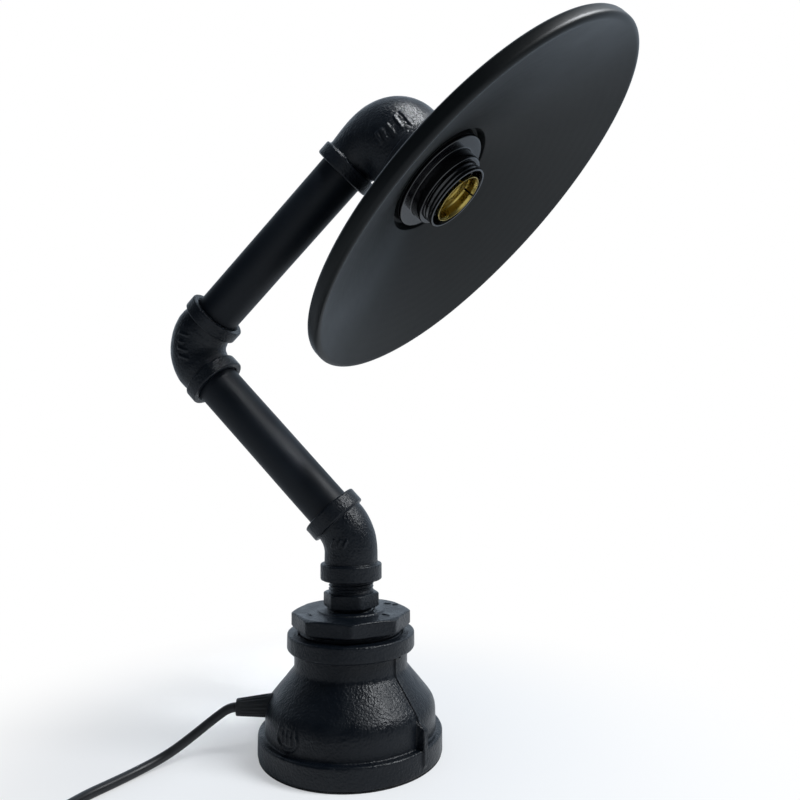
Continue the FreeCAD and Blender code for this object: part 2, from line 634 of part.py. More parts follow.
def elbow(name, kind, reaches, angle, holes, seat):
    """Cast elbow: the inlet comes up local Z to the corner, the outlet leaves towards +X."""
    centre_line = f"dims.{kind}_bend"
    body = f"dims.{kind}_body"
    band = f"dims.{kind}_band"
    passage = f"({body} / 2 - dims.fitting_wall)"
    tangent = f"({centre_line} * tan(({angle}) / 2))"
    straight = f"({passage} + dims.passage_step)"
    solids = [bend(name + "_bend", centre_line, f"{body} / 2", angle)]
    tools = [bend(name + "_passage", centre_line, passage, angle)]
    for end, reach, hole, way in zip(("in", "out"), reaches, holes, (INLET, turn("y", angle))):
        inner_leg = f"(min({tangent}; {reach} - dims.engagement - dims.body_gap) - dims.passage_step)"
        solids.append(port(f"{name}_port_{end}", reach, band, body, tangent, "dims.band_length", way))
        tools.append(socket(f"{name}_socket_{end}", reach, hole, straight, inner_leg, way))
    return node(cut(name, fuse(name + "_outside", solids), fuse(name + "_inside", tools), seat))


PIPE_HOLE = f"({half('pipe_diameter')} + dims.running_gap)"
elbow("elbow_45", "elbow45", (REACH_45_IN, REACH_45_OUT), "dims.elbow45_turn", (NIPPLE_HOLE, PIPE_HOLE),
      chain(rise(CORNER_45_Z), turn("z", 180)))
LOWER_AXIS = on("elbow_45", turn("y", "dims.elbow45_turn"))
LOWER_SPAN = f"({REACH_45_OUT} + dims.lower_pipe_length - 2 * dims.engagement + {REACH_90})"
elbow("middle_elbow", "elbow90", (REACH_90, REACH_90), "90", (PIPE_HOLE, PIPE_HOLE),
      chain(LOWER_AXIS, rise(LOWER_SPAN), turn("z", "180 + dims.middle_twist")))
UPPER_AXIS = on("middle_elbow", turn("y", 90))


def pipe(name, length, seat):
    """Plain pipe with its ends slightly broken."""
    outside = half("pipe_diameter")
    bore = f"{outside} - dims.pipe_wall"
    broken = "dims.pipe_wall / 4"
    return node(lathe(name, [
        (bore, "0"),
        (f"{outside} - {broken}", "0"),
        (outside, broken),
        (outside, f"{length} - {broken}"),
        (f"{outside} - {broken}", length),
        (bore, length),
    ], seat))


pipe("lower_pipe", "dims.lower_pipe_length", chain(LOWER_AXIS, rise(f"{REACH_45_OUT} - dims.engagement")))
pipe("upper_pipe", "dims.upper_pipe_length", chain(UPPER_AXIS, rise(f"{REACH_90} - dims.engagement")))

# ---------------------------------------------------------------- reducing elbow of the head
# The pipe comes up local Z to the corner and the lampholder looks along local X.  Behind the
# large mouth the casting is a dome, joined to a round heel by the cone that touches both.
UPPER_SPAN = f"({REACH_90} + dims.upper_pipe_length - 2 * dims.engagement + dims.head_reach)"
head_seat = chain(UPPER_AXIS, rise(UPPER_SPAN), turn("z", "dims.head_twist"))
SHADE_AXIS = turn("y", 90)
DOME_LEAN = "asin((dims.head_body - dims.head_heel) / 2 / dims.head_dome_place)"
MOUTH = f"({half('holder_skirt')} + 2 * dims.running_gap)"


def dome(wall):
    """Heel, cone and dome of the head elbow, less a wall, up to the start of the cylinder."""
    heel = f"({half('head_heel')} - {wall})"
    body = f"({half('head_body')} - {wall})"
    return [
        ("0", f"-{heel}", heel),
        (f"{heel} * cos({DOME_LEAN})", f"-{heel} * sin({DOME_LEAN})"),
        (f"{body} * cos({DOME_LEAN})", f"dims.head_dome_place - {body} * sin({DOME_LEAN})", body),
        (body, "dims.head_dome_place"),
    ]


HEAD_BAND_FOOT = "(dims.head_face - dims.head_band_length)"
head_dome = lathe("head_dome", [
    *dome("0"),
    (half("head_body"), HEAD_BAND_FOOT),
    (f"{half('head_band')} - {EDGE}", HEAD_BAND_FOOT),
    (half("head_band"), f"{HEAD_BAND_FOOT} + {EDGE}"),
    (half("head_band"), f"dims.head_face - {EDGE}"),
    (f"{half('head_band')} - {EDGE}", "dims.head_face"),
    ("0", "dims.head_face"),
], SHADE_AXIS)
head_room = lathe("head_room", [
    *dome("dims.head_wall"),
    (f"{half('head_body')} - dims.head_wall", HEAD_BAND_FOOT),
    (MOUTH, HEAD_BAND_FOOT),
    (MOUTH, "dims.head_face"),
    ("0", "dims.head_face"),
], SHADE_AXIS)
head_leg = port("head_leg", "dims.head_reach", "dims.elbow90_band", "dims.head_leg", "0",
                "dims.head_small_band", INLET)
head_socket = socket("head_socket", "dims.head_reach", PIPE_HOLE, f"{half('head_leg')} - dims.head_wall",
                     "0", INLET)
GRUB_PLACE = "(dims.head_face - dims.head_band_length / 2)"
GRUB_AXIS = chain(SHADE_AXIS, rise(GRUB_PLACE), turn("x", -90))
grub_hole = rod("grub_hole", "dims.grub_diameter + 2 * dims.running_gap", half("head_band"), GRUB_AXIS)
head_outside = fuse("head_outside", [head_dome, head_leg])
head_inside = fuse("head_inside", [head_room, head_socket, grub_hole])
node(cut("head_elbow", head_outside, head_inside, head_seat))
SHADE = on("head_elbow", SHADE_AXIS)

GRUB_TIP = f"({half('holder_skirt')} + dims.running_gap)"
node(rod("locking_screw", "dims.grub_diameter", f"{half('head_band')} - {GRUB_TIP}",
         on("head_elbow", GRUB_AXIS, rise(GRUB_TIP))))

# ---------------------------------------------------------------- lampholder
# Heights are counted along the shade axis from the corner of the head elbow.
CAP_END = "(dims.cap_start + dims.cap_length)"
SPIGOT_END = f"({CAP_END} + dims.cap_spigot_length)"
INSERT_FOOT = f"({SPIGOT_END} + dims.insert_play)"
INSERT_TOP = f"({INSERT_FOOT} + dims.insert_length)"
SHELL_FOOT = f"({INSERT_TOP} - dims.shell_seat)"
SHADE_SEAT = "(dims.head_face + dims.holder_shoulder_length)"
HOLDER_END = f"({SHADE_SEAT} + dims.holder_thread_length)"
CORD_HOLE = f"({half('cord_diameter')} + dims.running_gap)"
SCREW_AXES = [shift(0, f"{sign}dims.case_screw_place", 0) for sign in ("", "-")]

cap_blank = lathe("cap_blank", [
    (CORD_HOLE, "dims.cap_start - dims.cap_boss_length"),
    (half("cap_boss"), "dims.cap_start - dims.cap_boss_length"),
    (half("cap_boss"), "dims.cap_start"),
    (f"{half('holder_skirt')} - dims.mouth_chamfer", "dims.cap_start"),
    (half("holder_skirt"), "dims.cap_start + dims.mouth_chamfer"),
    (half("holder_skirt"), CAP_END),
    (half("cap_spigot"), CAP_END),
    (half("cap_spigot"), SPIGOT_END),
    (f"{half('cap_spigot')} - dims.cap_wall", SPIGOT_END),
    (f"{half('cap_spigot')} - dims.cap_wall", "dims.cap_start + dims.cap_wall"),
    (CORD_HOLE, "dims.cap_start + dims.cap_wall"),
])
cap_holes = fuse("cap_holes", [
    rod(f"cap_hole_{index}", "dims.case_screw + 2 * dims.running_gap", "dims.cap_length",
        chain(rise("dims.cap_start - dims.cap_wall"), axis))
    for index, axis in enumerate(SCREW_AXES)])
node(cut("holder_cap", cap_blank, cap_holes, SHADE))

# The front thread is turned as rings; only the last few stand out of the shade ring.
RING_END = f"({SHADE_SEAT} + dims.shade_sheet + dims.ring_flange_thickness + dims.ring_collar_length)"
THREAD = half("holder_thread")
rings = []
for index in range(2):
    foot = f"{RING_END} + {index} * dims.thread_pitch"
    rings += [
        (THREAD, f"{foot} + 0.3 * dims.thread_pitch"),
        (f"{THREAD} - dims.thread_depth", f"{foot} + 0.5 * dims.thread_pitch"),
        (f"{THREAD} - dims.thread_depth", f"{foot} + 0.7 * dims.thread_pitch"),
        (THREAD, f"{foot} + 0.9 * dims.thread_pitch"),
    ]
node(lathe("holder_body", [
    (half("holder_bore"), CAP_END),
    (half("holder_skirt"), CAP_END),
    (half("holder_skirt"), "dims.head_face"),
    (half("holder_shoulder"), "dims.head_face"),
    (half("holder_shoulder"), SHADE_SEAT),
    (THREAD, SHADE_SEAT),
    *rings,
    (THREAD, f"{HOLDER_END} - dims.thread_depth"),
    (f"{THREAD} - dims.thread_depth", HOLDER_END),
    (half("holder_lip"), HOLDER_END),
    (half("holder_lip"), f"{HOLDER_END} - dims.holder_lip_length"),
    (half("holder_front_bore"), f"{HOLDER_END} - dims.holder_lip_length"),
    (half("holder_front_bore"), f"{INSERT_TOP} + dims.insert_play"),
    (half("holder_bore"), f"{INSERT_TOP} + dims.insert_play"),
], SHADE))

insert_blank = rod("insert_blank", "dims.holder_bore - 4 * dims.running_gap", "dims.insert_length",
                   rise(INSERT_FOOT))
shell_seat = rod("shell_seat", "dims.shell_neck + 2 * dims.running_gap", "dims.shell_seat", rise(SHELL_FOOT))
stem_hole = rod("stem_hole", "dims.contact_stem + 2 * dims.running_gap", "dims.insert_length",
                rise(INSERT_FOOT))
STRIP_PLACE = f"({half('shell_neck')} - dims.shell_wall - dims.strip_thickness - 4 * dims.running_gap)"
strip_hole = block("strip_hole", "dims.strip_thickness + 2 * dims.running_gap",
                   "dims.strip_width + 2 * dims.running_gap", "dims.insert_length",
                   chain(rise(INSERT_FOOT), shift(STRIP_PLACE, 0, 0)))
grips = [rod(f"grip_{index}", "dims.case_screw + 2 * dims.running_gap",
             "dims.case_screw_grip + dims.body_gap", chain(rise(INSERT_FOOT), axis))
         for index, axis in enumerate(SCREW_AXES)]
insert_tools = fuse("insert_tools", [shell_seat, stem_hole, strip_hole, *grips])
node(cut("holder_insert", insert_blank, insert_tools, SHADE))

SHELL_BORE = f"({half('shell_diameter')} - dims.shell_wall)"
NECK_TOP = f"{SHELL_FOOT} + dims.shell_neck_length"
NECK_BORE = f"({half('shell_neck')} - dims.shell_wall)"
shell_tube = lathe("shell_tube", [
    (NECK_BORE, SHELL_FOOT),
    (half("shell_neck"), SHELL_FOOT),
    (half("shell_neck"), f"{NECK_TOP} - dims.shell_wall"),
    (half("shell_diameter"), f"{NECK_TOP} - dims.shell_wall"),
    (half("shell_diameter"), f"{SHELL_FOOT} + dims.shell_length"),
    (SHELL_BORE, f"{SHELL_FOOT} + dims.shell_length"),
    (SHELL_BORE, NECK_TOP),
    (NECK_BORE, NECK_TOP),
])
shell_slots = fuse("shell_slots", [
    block(f"shell_slot_{index}", "dims.shell_diameter", "dims.shell_slot", "dims.shell_slot_length",
          chain(rise(f"{SHELL_FOOT} + dims.shell_length - dims.shell_slot_length"), turn("z", 120 * index),
                shift(half("shell_diameter"), 0, 0)))
    for index in range(3)])
node(cut("screw_shell", shell_tube, shell_slots, SHADE))
node(lathe("centre_contact", [
    ("0", INSERT_FOOT),
    (half("contact_stem"), INSERT_FOOT),
    (half("contact_stem"), SHELL_FOOT),
    (half("contact_diameter"), SHELL_FOOT),
    (half("contact_diameter"), f"{SHELL_FOOT} + dims.contact_height / 2"),
    (half("contact_stem"), f"{SHELL_FOOT} + dims.contact_height"),
    ("0", f"{SHELL_FOOT} + dims.contact_height"),
], SHADE))
node(block("side_contact", "dims.strip_thickness", "dims.strip_width",
           "dims.insert_length - dims.shell_seat + dims.strip_stand",
           chain(SHADE, rise(INSERT_FOOT), shift(STRIP_PLACE, 0, 0))))


def turned_screw(name, shank, length, head, head_height, seat):
    """Screw along local Z, the underside of its head at local z = 0."""
    return lathe(name, [
        ("0", f"-{head_height}"),
        (f"({head}) / 2", f"-{head_height}"),
        (f"({head}) / 2", "0"),
        (f"({shank}) / 2", "0"),
        (f"({shank}) / 2", length),
        ("0", length),
    ], seat)


TERMINAL_FOOT = f"({INSERT_FOOT} - dims.terminal_depth)"
terminals = []
terminal_screws = []
for index, side in enumerate(("", "-")):
    terminal_axis = chain(SHADE, rise(TERMINAL_FOOT), shift(f"{side}dims.terminal_place", 0, 0))
    terminal = block(f"terminal_{index}", "dims.terminal_length", "dims.terminal_width",
                     "dims.terminal_depth", terminal_axis)
    hole = rod(f"terminal_hole_{index}", "dims.terminal_screw + 2 * dims.running_gap",
               "dims.terminal_depth", terminal_axis)
    terminals.append(cut(f"drilled_terminal_{index}", terminal, hole))
    terminal_screws.append(turned_screw(f"terminal_screw_{index}", "dims.terminal_screw",
                                        "dims.terminal_depth - dims.body_gap", "dims.terminal_head",
                                        "dims.terminal_head_height", terminal_axis))
node(group("terminal_blocks", terminals))
node(group("terminal_screws", terminal_screws))
CASE_SCREW_LENGTH = f"{INSERT_FOOT} - dims.cap_start + dims.case_screw_grip"
node(group("insert_screws", [
    turned_screw(f"insert_screw_{index}", "dims.case_screw", CASE_SCREW_LENGTH, "dims.case_screw_head",
                 "dims.case_screw_head_height", chain(SHADE, rise("dims.cap_start"), axis))
    for index, axis in enumerate(SCREW_AXES)]))

# ---------------------------------------------------------------- shade and its ring
# Spun sheet: flat centre, shallow cone, straight lip.  Local z = 0 is the back of the centre.
SHADE_RADIUS = half("shade_diameter")
SHADE_FLAT = half("shade_flat")
SHADE_LEAN = f"atan(dims.shade_cone / ({SHADE_RADIUS} - {SHADE_FLAT}))"
SHADE_HOLE = f"({THREAD} + dims.shade_play)"
SHADE_DEPTH = "dims.shade_cone + dims.shade_lip"
node(lathe("shade", [
    (SHADE_HOLE, "0"),
    (SHADE_FLAT, "0"),
    (SHADE_RADIUS, "dims.shade_cone"),
    (SHADE_RADIUS, SHADE_DEPTH),
    (f"{SHADE_RADIUS} - dims.shade_sheet", SHADE_DEPTH),
    (f"{SHADE_RADIUS} - dims.shade_sheet",
     f"dims.shade_cone + dims.shade_sheet * (1 - sin({SHADE_LEAN})) / cos({SHADE_LEAN})"),
    (f"{SHADE_FLAT} - dims.shade_sheet * tan({SHADE_LEAN} / 2)", "dims.shade_sheet"),
    (SHADE_HOLE, "dims.shade_sheet"),
], chain(SHADE, rise(SHADE_SEAT))))
RING_HOLE = f"({THREAD} + dims.running_gap)"
RING_HEIGHT = "(dims.ring_flange_thickness + dims.ring_collar_length)"
RING_EDGE = "dims.ring_flange_thickness / 3"
node(lathe("shade_ring", [
    (RING_HOLE, "0"),
    (f"{half('ring_flange')} - {RING_EDGE}", "0"),
    (half("ring_flange"), RING_EDGE),
    (half("ring_flange"), f"2 * {RING_EDGE}"),
    (f"{half('ring_flange')} - {RING_EDGE}", "dims.ring_flange_thickness"),
    (half("ring_collar"), "dims.ring_flange_thickness"),
    (half("ring_collar"), f"{RING_HEIGHT} - {RING_EDGE}"),
    (f"{half('ring_collar')} - {RING_EDGE}", RING_HEIGHT),
    (RING_HOLE, RING_HEIGHT),
], chain(SHADE, rise(f"{SHADE_SEAT} + dims.shade_sheet"))))

# ---------------------------------------------------------------- strain relief
RELIEF_TIP = f"({RELIEF_FACE} + dims.relief_length)"
RELIEF_FOOT = f"({RELIEF_FACE} - dims.relief_stem_length)"
node(lathe("strain_relief", [
    (CORD_HOLE, RELIEF_FOOT),
    (half("relief_stem"), RELIEF_FOOT),
    (half("relief_stem"), RELIEF_FACE),
    (half("relief_root"), RELIEF_FACE),
    (half("relief_tip"), RELIEF_TIP),
    (CORD_HOLE, RELIEF_TIP),
], RELIEF))
nut_seat = chain(RELIEF, rise("dims.relief_nut_face - dims.relief_nut_height"))
nut_blank = primitive("Prism", "nut_blank", None, Circumradius=NUT_CORNER, Height="dims.relief_nut_height")
nut_blank.Polygon = 6
nut_hole = rod("nut_hole", "dims.relief_stem + 2 * dims.running_gap", "dims.relief_nut_height", rise(0))
node(cut("strain_relief_nut", nut_blank, nut_hole, nut_seat))


# ---------------------------------------------------------------- cord inside the lamp
def swept_tube(name, points, radii, diameter, seat=None):
    """Round tube along straight runs joined by tangent arcs.  Every corner of the route has
    its own radius."""
    corners = [FreeCAD.Vector(*point) for point in points]
    edges = []
    length = 0
    start = corners[0]
    for index, radius in enumerate(radii, 1):
        before = (corners[index - 1] - corners[index]).normalize()
        after = (corners[index + 1] - corners[index]).normalize()
        angle = math.pi - before.getAngle(after)
        reach = radius * math.tan(angle / 2)
        first = corners[index] + before * reach
        last = corners[index] + after * reach
        middle = (before + after).normalize() * (radius / math.cos(angle / 2) - radius)
        edges.append(Part.LineSegment(start, first).toShape())
        edges.append(Part.Arc(first, corners[index] + middle, last).toShape())
        start = last
    edges.append(Part.LineSegment(start, corners[-1]).toShape())
    path = Part.Wire(edges)
    section = Part.Circle(corners[0], corners[1] - corners[0], diameter / 2).toShape()
    tube = doc.addObject("Part::Feature", name)
    tube.Shape = path.makePipeShell([Part.Wire(section)], True, False)
    expected = math.pi * diameter ** 2 / 4 * path.Length
    print(f"{name}: length {path.Length:.1f}, volume {tube.Shape.Volume / expected:.5f} of section x length,",
          "radii", [round(radius, 1) for radius in radii])
    if seat:
        tube.setExpression("Placement", seat)
    return node(tube)


CORD = value("dims.cord_diameter")


def lead_back(bend_radius, angle):
    """How far before a corner the lead of the next body starts: its bend and a short straight."""
    return bend_radius * math.tan(math.radians(angle) / 2) + value("dims.lead_straight")


GAP = value("dims.body_gap")
RELIEF_Z = value("dims.pad_thickness + dims.relief_height")
BACK_45 = lead_back(value("dims.elbow45_bend"), value("dims.elbow45_turn"))
BACK_90 = lead_back(value("dims.elbow90_bend"), 90)
BACK_HEAD = lead_back(value("dims.head_lead_bend"), 90)
RELIEF_WAY = math.radians(value("dims.relief_azimuth"))
relief_tip = (value(RELIEF_TIP) * math.cos(RELIEF_WAY), value(RELIEF_TIP) * math.sin(RELIEF_WAY), RELIEF_Z)
swept_tube("base_lead", [
    relief_tip,
    (0, 0, RELIEF_Z),
    (0, 0, value(CORNER_45_Z) - BACK_45 - GAP),
], [value("dims.lead_bend_base")], CORD)


def body_lead(name, turn_angle, bend_radius, back, end, seat):
    """Lead of one arm: up local Z to the corner, then along the outlet, which leans to +X."""
    angle = math.radians(turn_angle)
    swept_tube(name, [
        (0, 0, -back),
        (0, 0, 0),
        (end * math.sin(angle), 0, end * math.cos(angle)),
    ], [bend_radius], CORD, seat)


body_lead("lower_lead", value("dims.elbow45_turn"), value("dims.elbow45_bend"), BACK_45,
          value(LOWER_SPAN) - BACK_90 - GAP, "elbow_45.Placement")
body_lead("upper_lead", 90, value("dims.elbow90_bend"), BACK_90,
          value(UPPER_SPAN) - BACK_HEAD - GAP, "middle_elbow.Placement")
SHEATH_END = value("dims.cap_start + dims.cap_wall + dims.sheath_end")
body_lead("head_lead", 90, value("dims.head_lead_bend"), BACK_HEAD, SHEATH_END, "head_elbow.Placement")
CORE = value("dims.core_diameter")
CORE_X = value("dims.core_place")
TERMINAL_FACE = value("dims.terminal_place - dims.terminal_length / 2")
TERMINAL_MIDDLE = value(f"{TERMINAL_FOOT} + dims.terminal_depth / 2")
cores = []
for index, side in enumerate((1, -1)):
    core = swept_tube(f"core_{index}", [
        (side * CORE_X, 0, SHEATH_END),
        (side * CORE_X, 0, TERMINAL_MIDDLE),
        (side * TERMINAL_FACE, 0, TERMINAL_MIDDLE),
    ], [0.6 * CORE], CORE, SHADE)
    nodes.remove(core)
    cores.append(core)
node(group("holder_cores", cores))

# ---------------------------------------------------------------- in-line switch
# Local frame: the table under the middle of the switch, X along the cord.
SWITCH = shift("dims.switch_x", "dims.switch_y", 0)
SWITCH_X = half("switch_length")
SWITCH_S = half("switch_shoulder")
SWITCH_Y = half("switch_width")
SWITCH_E = half("switch_end")
switch_outline = [
    (f"-{SWITCH_X}", f"-{SWITCH_E}"),
    (f"-{SWITCH_S}", f"-{SWITCH_Y}"),
    (SWITCH_S, f"-{SWITCH_Y}"),
    (SWITCH_X, f"-{SWITCH_E}"),
    (SWITCH_X, SWITCH_E),
    (SWITCH_S, SWITCH_Y),
    (f"-{SWITCH_S}", SWITCH_Y),
    (f"-{SWITCH_X}", SWITCH_E),
]
ROCKER_HOLE = "(dims.rocker_pin + 2 * dims.running_gap)"
ROOF = "(dims.switch_height - dims.switch_wall)"
WINDOW_WIDTH = "(dims.rocker_width + 2 * dims.rocker_play)"
SCREW_PLACES = [shift(f"{sign}dims.switch_screw_x", f"{sign}dims.switch_screw_y", 0) for sign in ("", "-")]
HEAD_ROOM = "(dims.switch_screw_head_height + dims.switch_screw_sunk)"

lower_slab = slab("lower_slab", switch_outline, "dims.switch_split")
lower_room = block("lower_room", "dims.switch_room", "dims.switch_room_width", "dims.switch_split",
                   rise("dims.switch_wall"))
lower_holes = []
upper_holes = []
for index, place in enumerate(SCREW_PLACES):
    lower_holes += [
        rod(f"lower_hole_{index}", "dims.switch_screw + 2 * dims.running_gap", "dims.switch_split", place),
        rod(f"head_hole_{index}", "dims.switch_screw_head + 4 * dims.running_gap", HEAD_ROOM, place),
    ]
    upper_holes.append(rod(f"upper_hole_{index}", "dims.switch_screw + 2 * dims.running_gap",
                           f"{HEAD_ROOM} + dims.switch_screw_length + dims.body_gap", place))
BLADE_TOP = ("(dims.rocker_axis - dims.blade_gap - dims.rocker_skirt * cos(dims.rocker_tilt)"
             " - dims.rocker_half * sin(dims.rocker_tilt))")
blade_post = block("blade_post", "dims.blade_post", "dims.blade_width",
                   f"{BLADE_TOP} - dims.blade_thickness - dims.switch_wall", rise("dims.switch_wall"))
lower_cut = cut("lower_cut", lower_slab, fuse("lower_tools", [lower_room, *lower_holes]))
node(fuse("switch_lower_shell", [lower_cut, blade_post], SWITCH))

upper_slab = slab("upper_slab", switch_outline, "dims.switch_height - dims.switch_split",
                  rise("dims.switch_split"))
upper_room = block("upper_room", "dims.switch_room", "dims.switch_room_width", f"{ROOF} - dims.switch_split",
                   rise("dims.switch_split"))
window = block("window", "dims.window_length", WINDOW_WIDTH, "dims.switch_height", rise("dims.switch_split"))
CHEEK_HEIGHT = f"{ROOF} - dims.rocker_axis + 2 * dims.rocker_pin"
cheeks = [block(f"cheek_{index}", "dims.cheek_length", "dims.cheek", CHEEK_HEIGHT,
                chain(rise("dims.rocker_axis - 2 * dims.rocker_pin"),
                      shift(0, f"{sign}({WINDOW_WIDTH} + dims.cheek) / 2", 0)))
          for index, sign in enumerate(("", "-"))]
PIN_AXIS = chain(rise("dims.rocker_axis"), turn("x", 90))
PIN_LENGTH = f"({WINDOW_WIDTH} + 2 * dims.cheek)"
pin_hole = rod("pin_hole", ROCKER_HOLE, PIN_LENGTH, chain(PIN_AXIS, rise(f"-{PIN_LENGTH} / 2")))
upper_cut = cut("upper_cut", upper_slab, fuse("upper_tools", [upper_room, window, *upper_holes]))
upper_cheeks = fuse("upper_cheeks", [upper_cut, *cheeks])
node(cut("switch_upper_shell", upper_cheeks, pin_hole, SWITCH))

# The rocker's outline lies in its local XY plane with the pin at the origin.
rocker_slab = slab("rocker_slab", [
    ("-dims.rocker_half", "-dims.rocker_skirt"),
    ("dims.rocker_half", "-dims.rocker_skirt"),
    ("dims.rocker_half", "dims.rocker_end"),
    ("0", "dims.rocker_dip"),
    ("-dims.rocker_half", "dims.rocker_end"),
], "dims.rocker_width", rise(f"-{half('rocker_width')}"))
rocker_pin = rod("rocker_pin", "dims.rocker_pin", PIN_LENGTH, rise(f"-{PIN_LENGTH} / 2"))
node(fuse("switch_rocker", [rocker_slab, rocker_pin],
          chain(SWITCH, rise("dims.rocker_axis"), turn("y", "dims.rocker_tilt"), turn("x", 90))))
node(block("switch_contact_blade", "dims.blade_length", "dims.blade_width", "dims.blade_thickness",
           chain(SWITCH, rise(f"{BLADE_TOP} - dims.blade_thickness"))))
node(group("switch_terminals", [
    block(f"clamp_{index}", "dims.clamp_length", "dims.clamp_width", "dims.clamp_height",
          chain(SWITCH, rise("dims.switch_wall"), shift(f"{sign}dims.clamp_place", 0, 0)))
    for index, sign in enumerate(("", "-"))]))
node(group("switch_screws", [
    turned_screw(f"switch_screw_{index}", "dims.switch_screw", "dims.switch_screw_length",
                 "dims.switch_screw_head", "dims.switch_screw_head_height",
                 chain(SWITCH, rise(HEAD_ROOM), place))
    for index, place in enumerate(SCREW_PLACES)]))

# ---------------------------------------------------------------- coil and plug
coil_seat = shift("dims.coil_x", "dims.coil_y", 0)
coil_outer = rod("coil_outer", "dims.coil_outside", "2 * dims.cord_diameter", rise(0))
coil_inner = rod("coil_inner", "dims.coil_inside", "2 * dims.cord_diameter", rise(0))
node(cut("cord_coil", coil_outer, coil_inner, coil_seat))

# The plug lies flat; local X runs from its rear face to the pins.
PLUG = chain(shift("dims.plug_x", "dims.plug_y", 0), rise(half("plug_thickness")))
PLUG_Y = half("plug_width")
PLUG_E = half("plug_nose")
plug_slab = slab("plug_slab", [
    ("0", f"-{PLUG_E}"),
    ("0.4 * dims.plug_length", f"-{PLUG_Y}"),
    ("dims.plug_length", f"-{PLUG_Y}"),
    ("dims.plug_length", PLUG_Y),
    ("0.4 * dims.plug_length", PLUG_Y),
    ("0", PLUG_E),
], "dims.plug_thickness", rise(f"-{half('plug_thickness')}"))
sleeve = lathe("sleeve", [
    ("0", "-dims.plug_sleeve"),
    (half("plug_sleeve_tip"), "-dims.plug_sleeve"),
    (half("plug_sleeve_root"), "0"),
    ("0", "0"),
], turn("y", 90))
pins = []
pin_holes = []
for index, sign in enumerate(("", "-")):
    pin_axis = chain(turn("y", 90), rise("dims.plug_length - dims.pin_root"),
                     shift(0, f"{sign}{half('pin_spacing')}", 0))
    pin_holes.append(rod(f"pin_hole_{index}", "dims.pin_root_diameter + 2 * dims.running_gap",
                         "dims.pin_root", pin_axis))
    pins.append(fuse(f"pin_{index}", [
        rod(f"pin_root_{index}", "dims.pin_root_diameter", "dims.pin_root", rise(0)),
        rod(f"pin_tip_{index}", "dims.pin_diameter", "dims.pin_length", rise("dims.pin_root")),
    ], chain(PLUG, pin_axis)))
plug_blank = fuse("plug_blank", [plug_slab, sleeve])
node(cut("plug_body", plug_blank, fuse("plug_holes", pin_holes), PLUG))
node(group("plug_pins", pins))


# ---------------------------------------------------------------- cord on the table
def free_cord(name, points):
    """Cord that lies free: every bend is as large as the two runs beside it allow."""
    corners = [FreeCAD.Vector(*point) for point in points]
    runs = [(after - before).Length for before, after in zip(corners, corners[1:])]
    radii = []
    for index in range(1, len(corners) - 1):
        angle = (corners[index] - corners[index - 1]).getAngle(corners[index + 1] - corners[index])
        radii.append(0.45 * min(runs[index - 1], runs[index]) / math.tan(angle / 2))
    return swept_tube(name, points, radii, CORD)


TABLE = CORD / 2
SWITCH_LINE = (value("dims.switch_y"), value("dims.switch_split"))
SWITCH_END = (value("dims.switch_x - dims.switch_length / 2"), *SWITCH_LINE)
SWITCH_FAR = (value("dims.switch_x + dims.switch_length / 2"), *SWITCH_LINE)
# The cord joins the coil where its centre line meets the coil's outside.
COIL_RADIUS = value("(dims.coil_outside - dims.cord_diameter) / 2")
COIL_ALONG = math.sqrt(value(half("coil_outside")) ** 2 - COIL_RADIUS ** 2)
COIL_IN = (value("dims.coil_x") + COIL_ALONG, value("dims.coil_y") + COIL_RADIUS, 1.5 * CORD)
COIL_OUT = (value("dims.coil_x") + COIL_ALONG, value("dims.coil_y") - COIL_RADIUS, 0.5 * CORD)
PLUG_END = (value("dims.plug_x - dims.plug_sleeve"), value("dims.plug_y"), value("dims.plug_thickness / 2"))

RELIEF_RUN = 3.6
relief_run = (relief_tip[0] + RELIEF_RUN * math.cos(RELIEF_WAY),
              relief_tip[1] + RELIEF_RUN * math.sin(RELIEF_WAY), RELIEF_Z)
SWITCH_RUN = 13
switch_run = (SWITCH_END[0] - SWITCH_RUN, SWITCH_END[1], SWITCH_END[2])
far_run = (SWITCH_FAR[0] + SWITCH_RUN, SWITCH_FAR[1], SWITCH_FAR[2])
PLUG_RUN = 7
plug_run = (PLUG_END[0] - PLUG_RUN, PLUG_END[1], PLUG_END[2])

free_cord("cord_to_switch", [
    relief_tip,
    relief_run,
    (-72.3, -21.7, 22.6),
    (-78.4, -24.4, 17.9),
    (-85.0, -28.5, 12.9),
    (-91.7, -33.6, 8.2),
    (-98.5, -39.5, 4.7),
    (-105.2, -49.0, 2.9),
    (-111.6, -62.6, TABLE),
    (-117.9, -75.6, TABLE),
    (-123.5, -98.0, TABLE),
    (-127.0, -123.0, TABLE),
    (-126.0, -149.0, TABLE),
    (-119.5, -174.0, TABLE),
    (-107.5, -195.5, 3.4),
    switch_run,
    SWITCH_END,
])
free_cord("cord_to_coil", [
    SWITCH_FAR,
    far_run,
    (16.0, -203.5, 3.4),
    (38.0, -199.5, TABLE),
    (56.0, -189.0, TABLE),
    (66.0, -170.0, TABLE),
    (64.0, -147.0, TABLE),
    (51.0, -126.5, TABLE),
    (29.0, -113.0, 3.2),
    (4.0, -105.2, 5.2),
    (-22.5, -101.9, 7.2),
    COIL_IN,
])
free_cord("cord_tail", [
    COIL_OUT,
    (-39.0, -180.2, 4.4),
    plug_run,
    PLUG_END,
])


# ---------------------------------------------------------------- check and export
doc.recompute()
for item in doc.Objects:
    if "Invalid" in item.State or "Error" in item.State:
        raise RuntimeError(f"{item.Name} did not build: {item.State}")
os.makedirs("parts", exist_ok=True)
for piece in nodes:
    shape = piece.Shape
    if shape.isNull() or not shape.isValid() or not shape.Solids:
        raise RuntimeError(f"{piece.Label} has no valid solid")
    shape.exportStep(f"parts/{piece.Label}.step")
print(len(nodes), "nodes written")
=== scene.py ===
import math

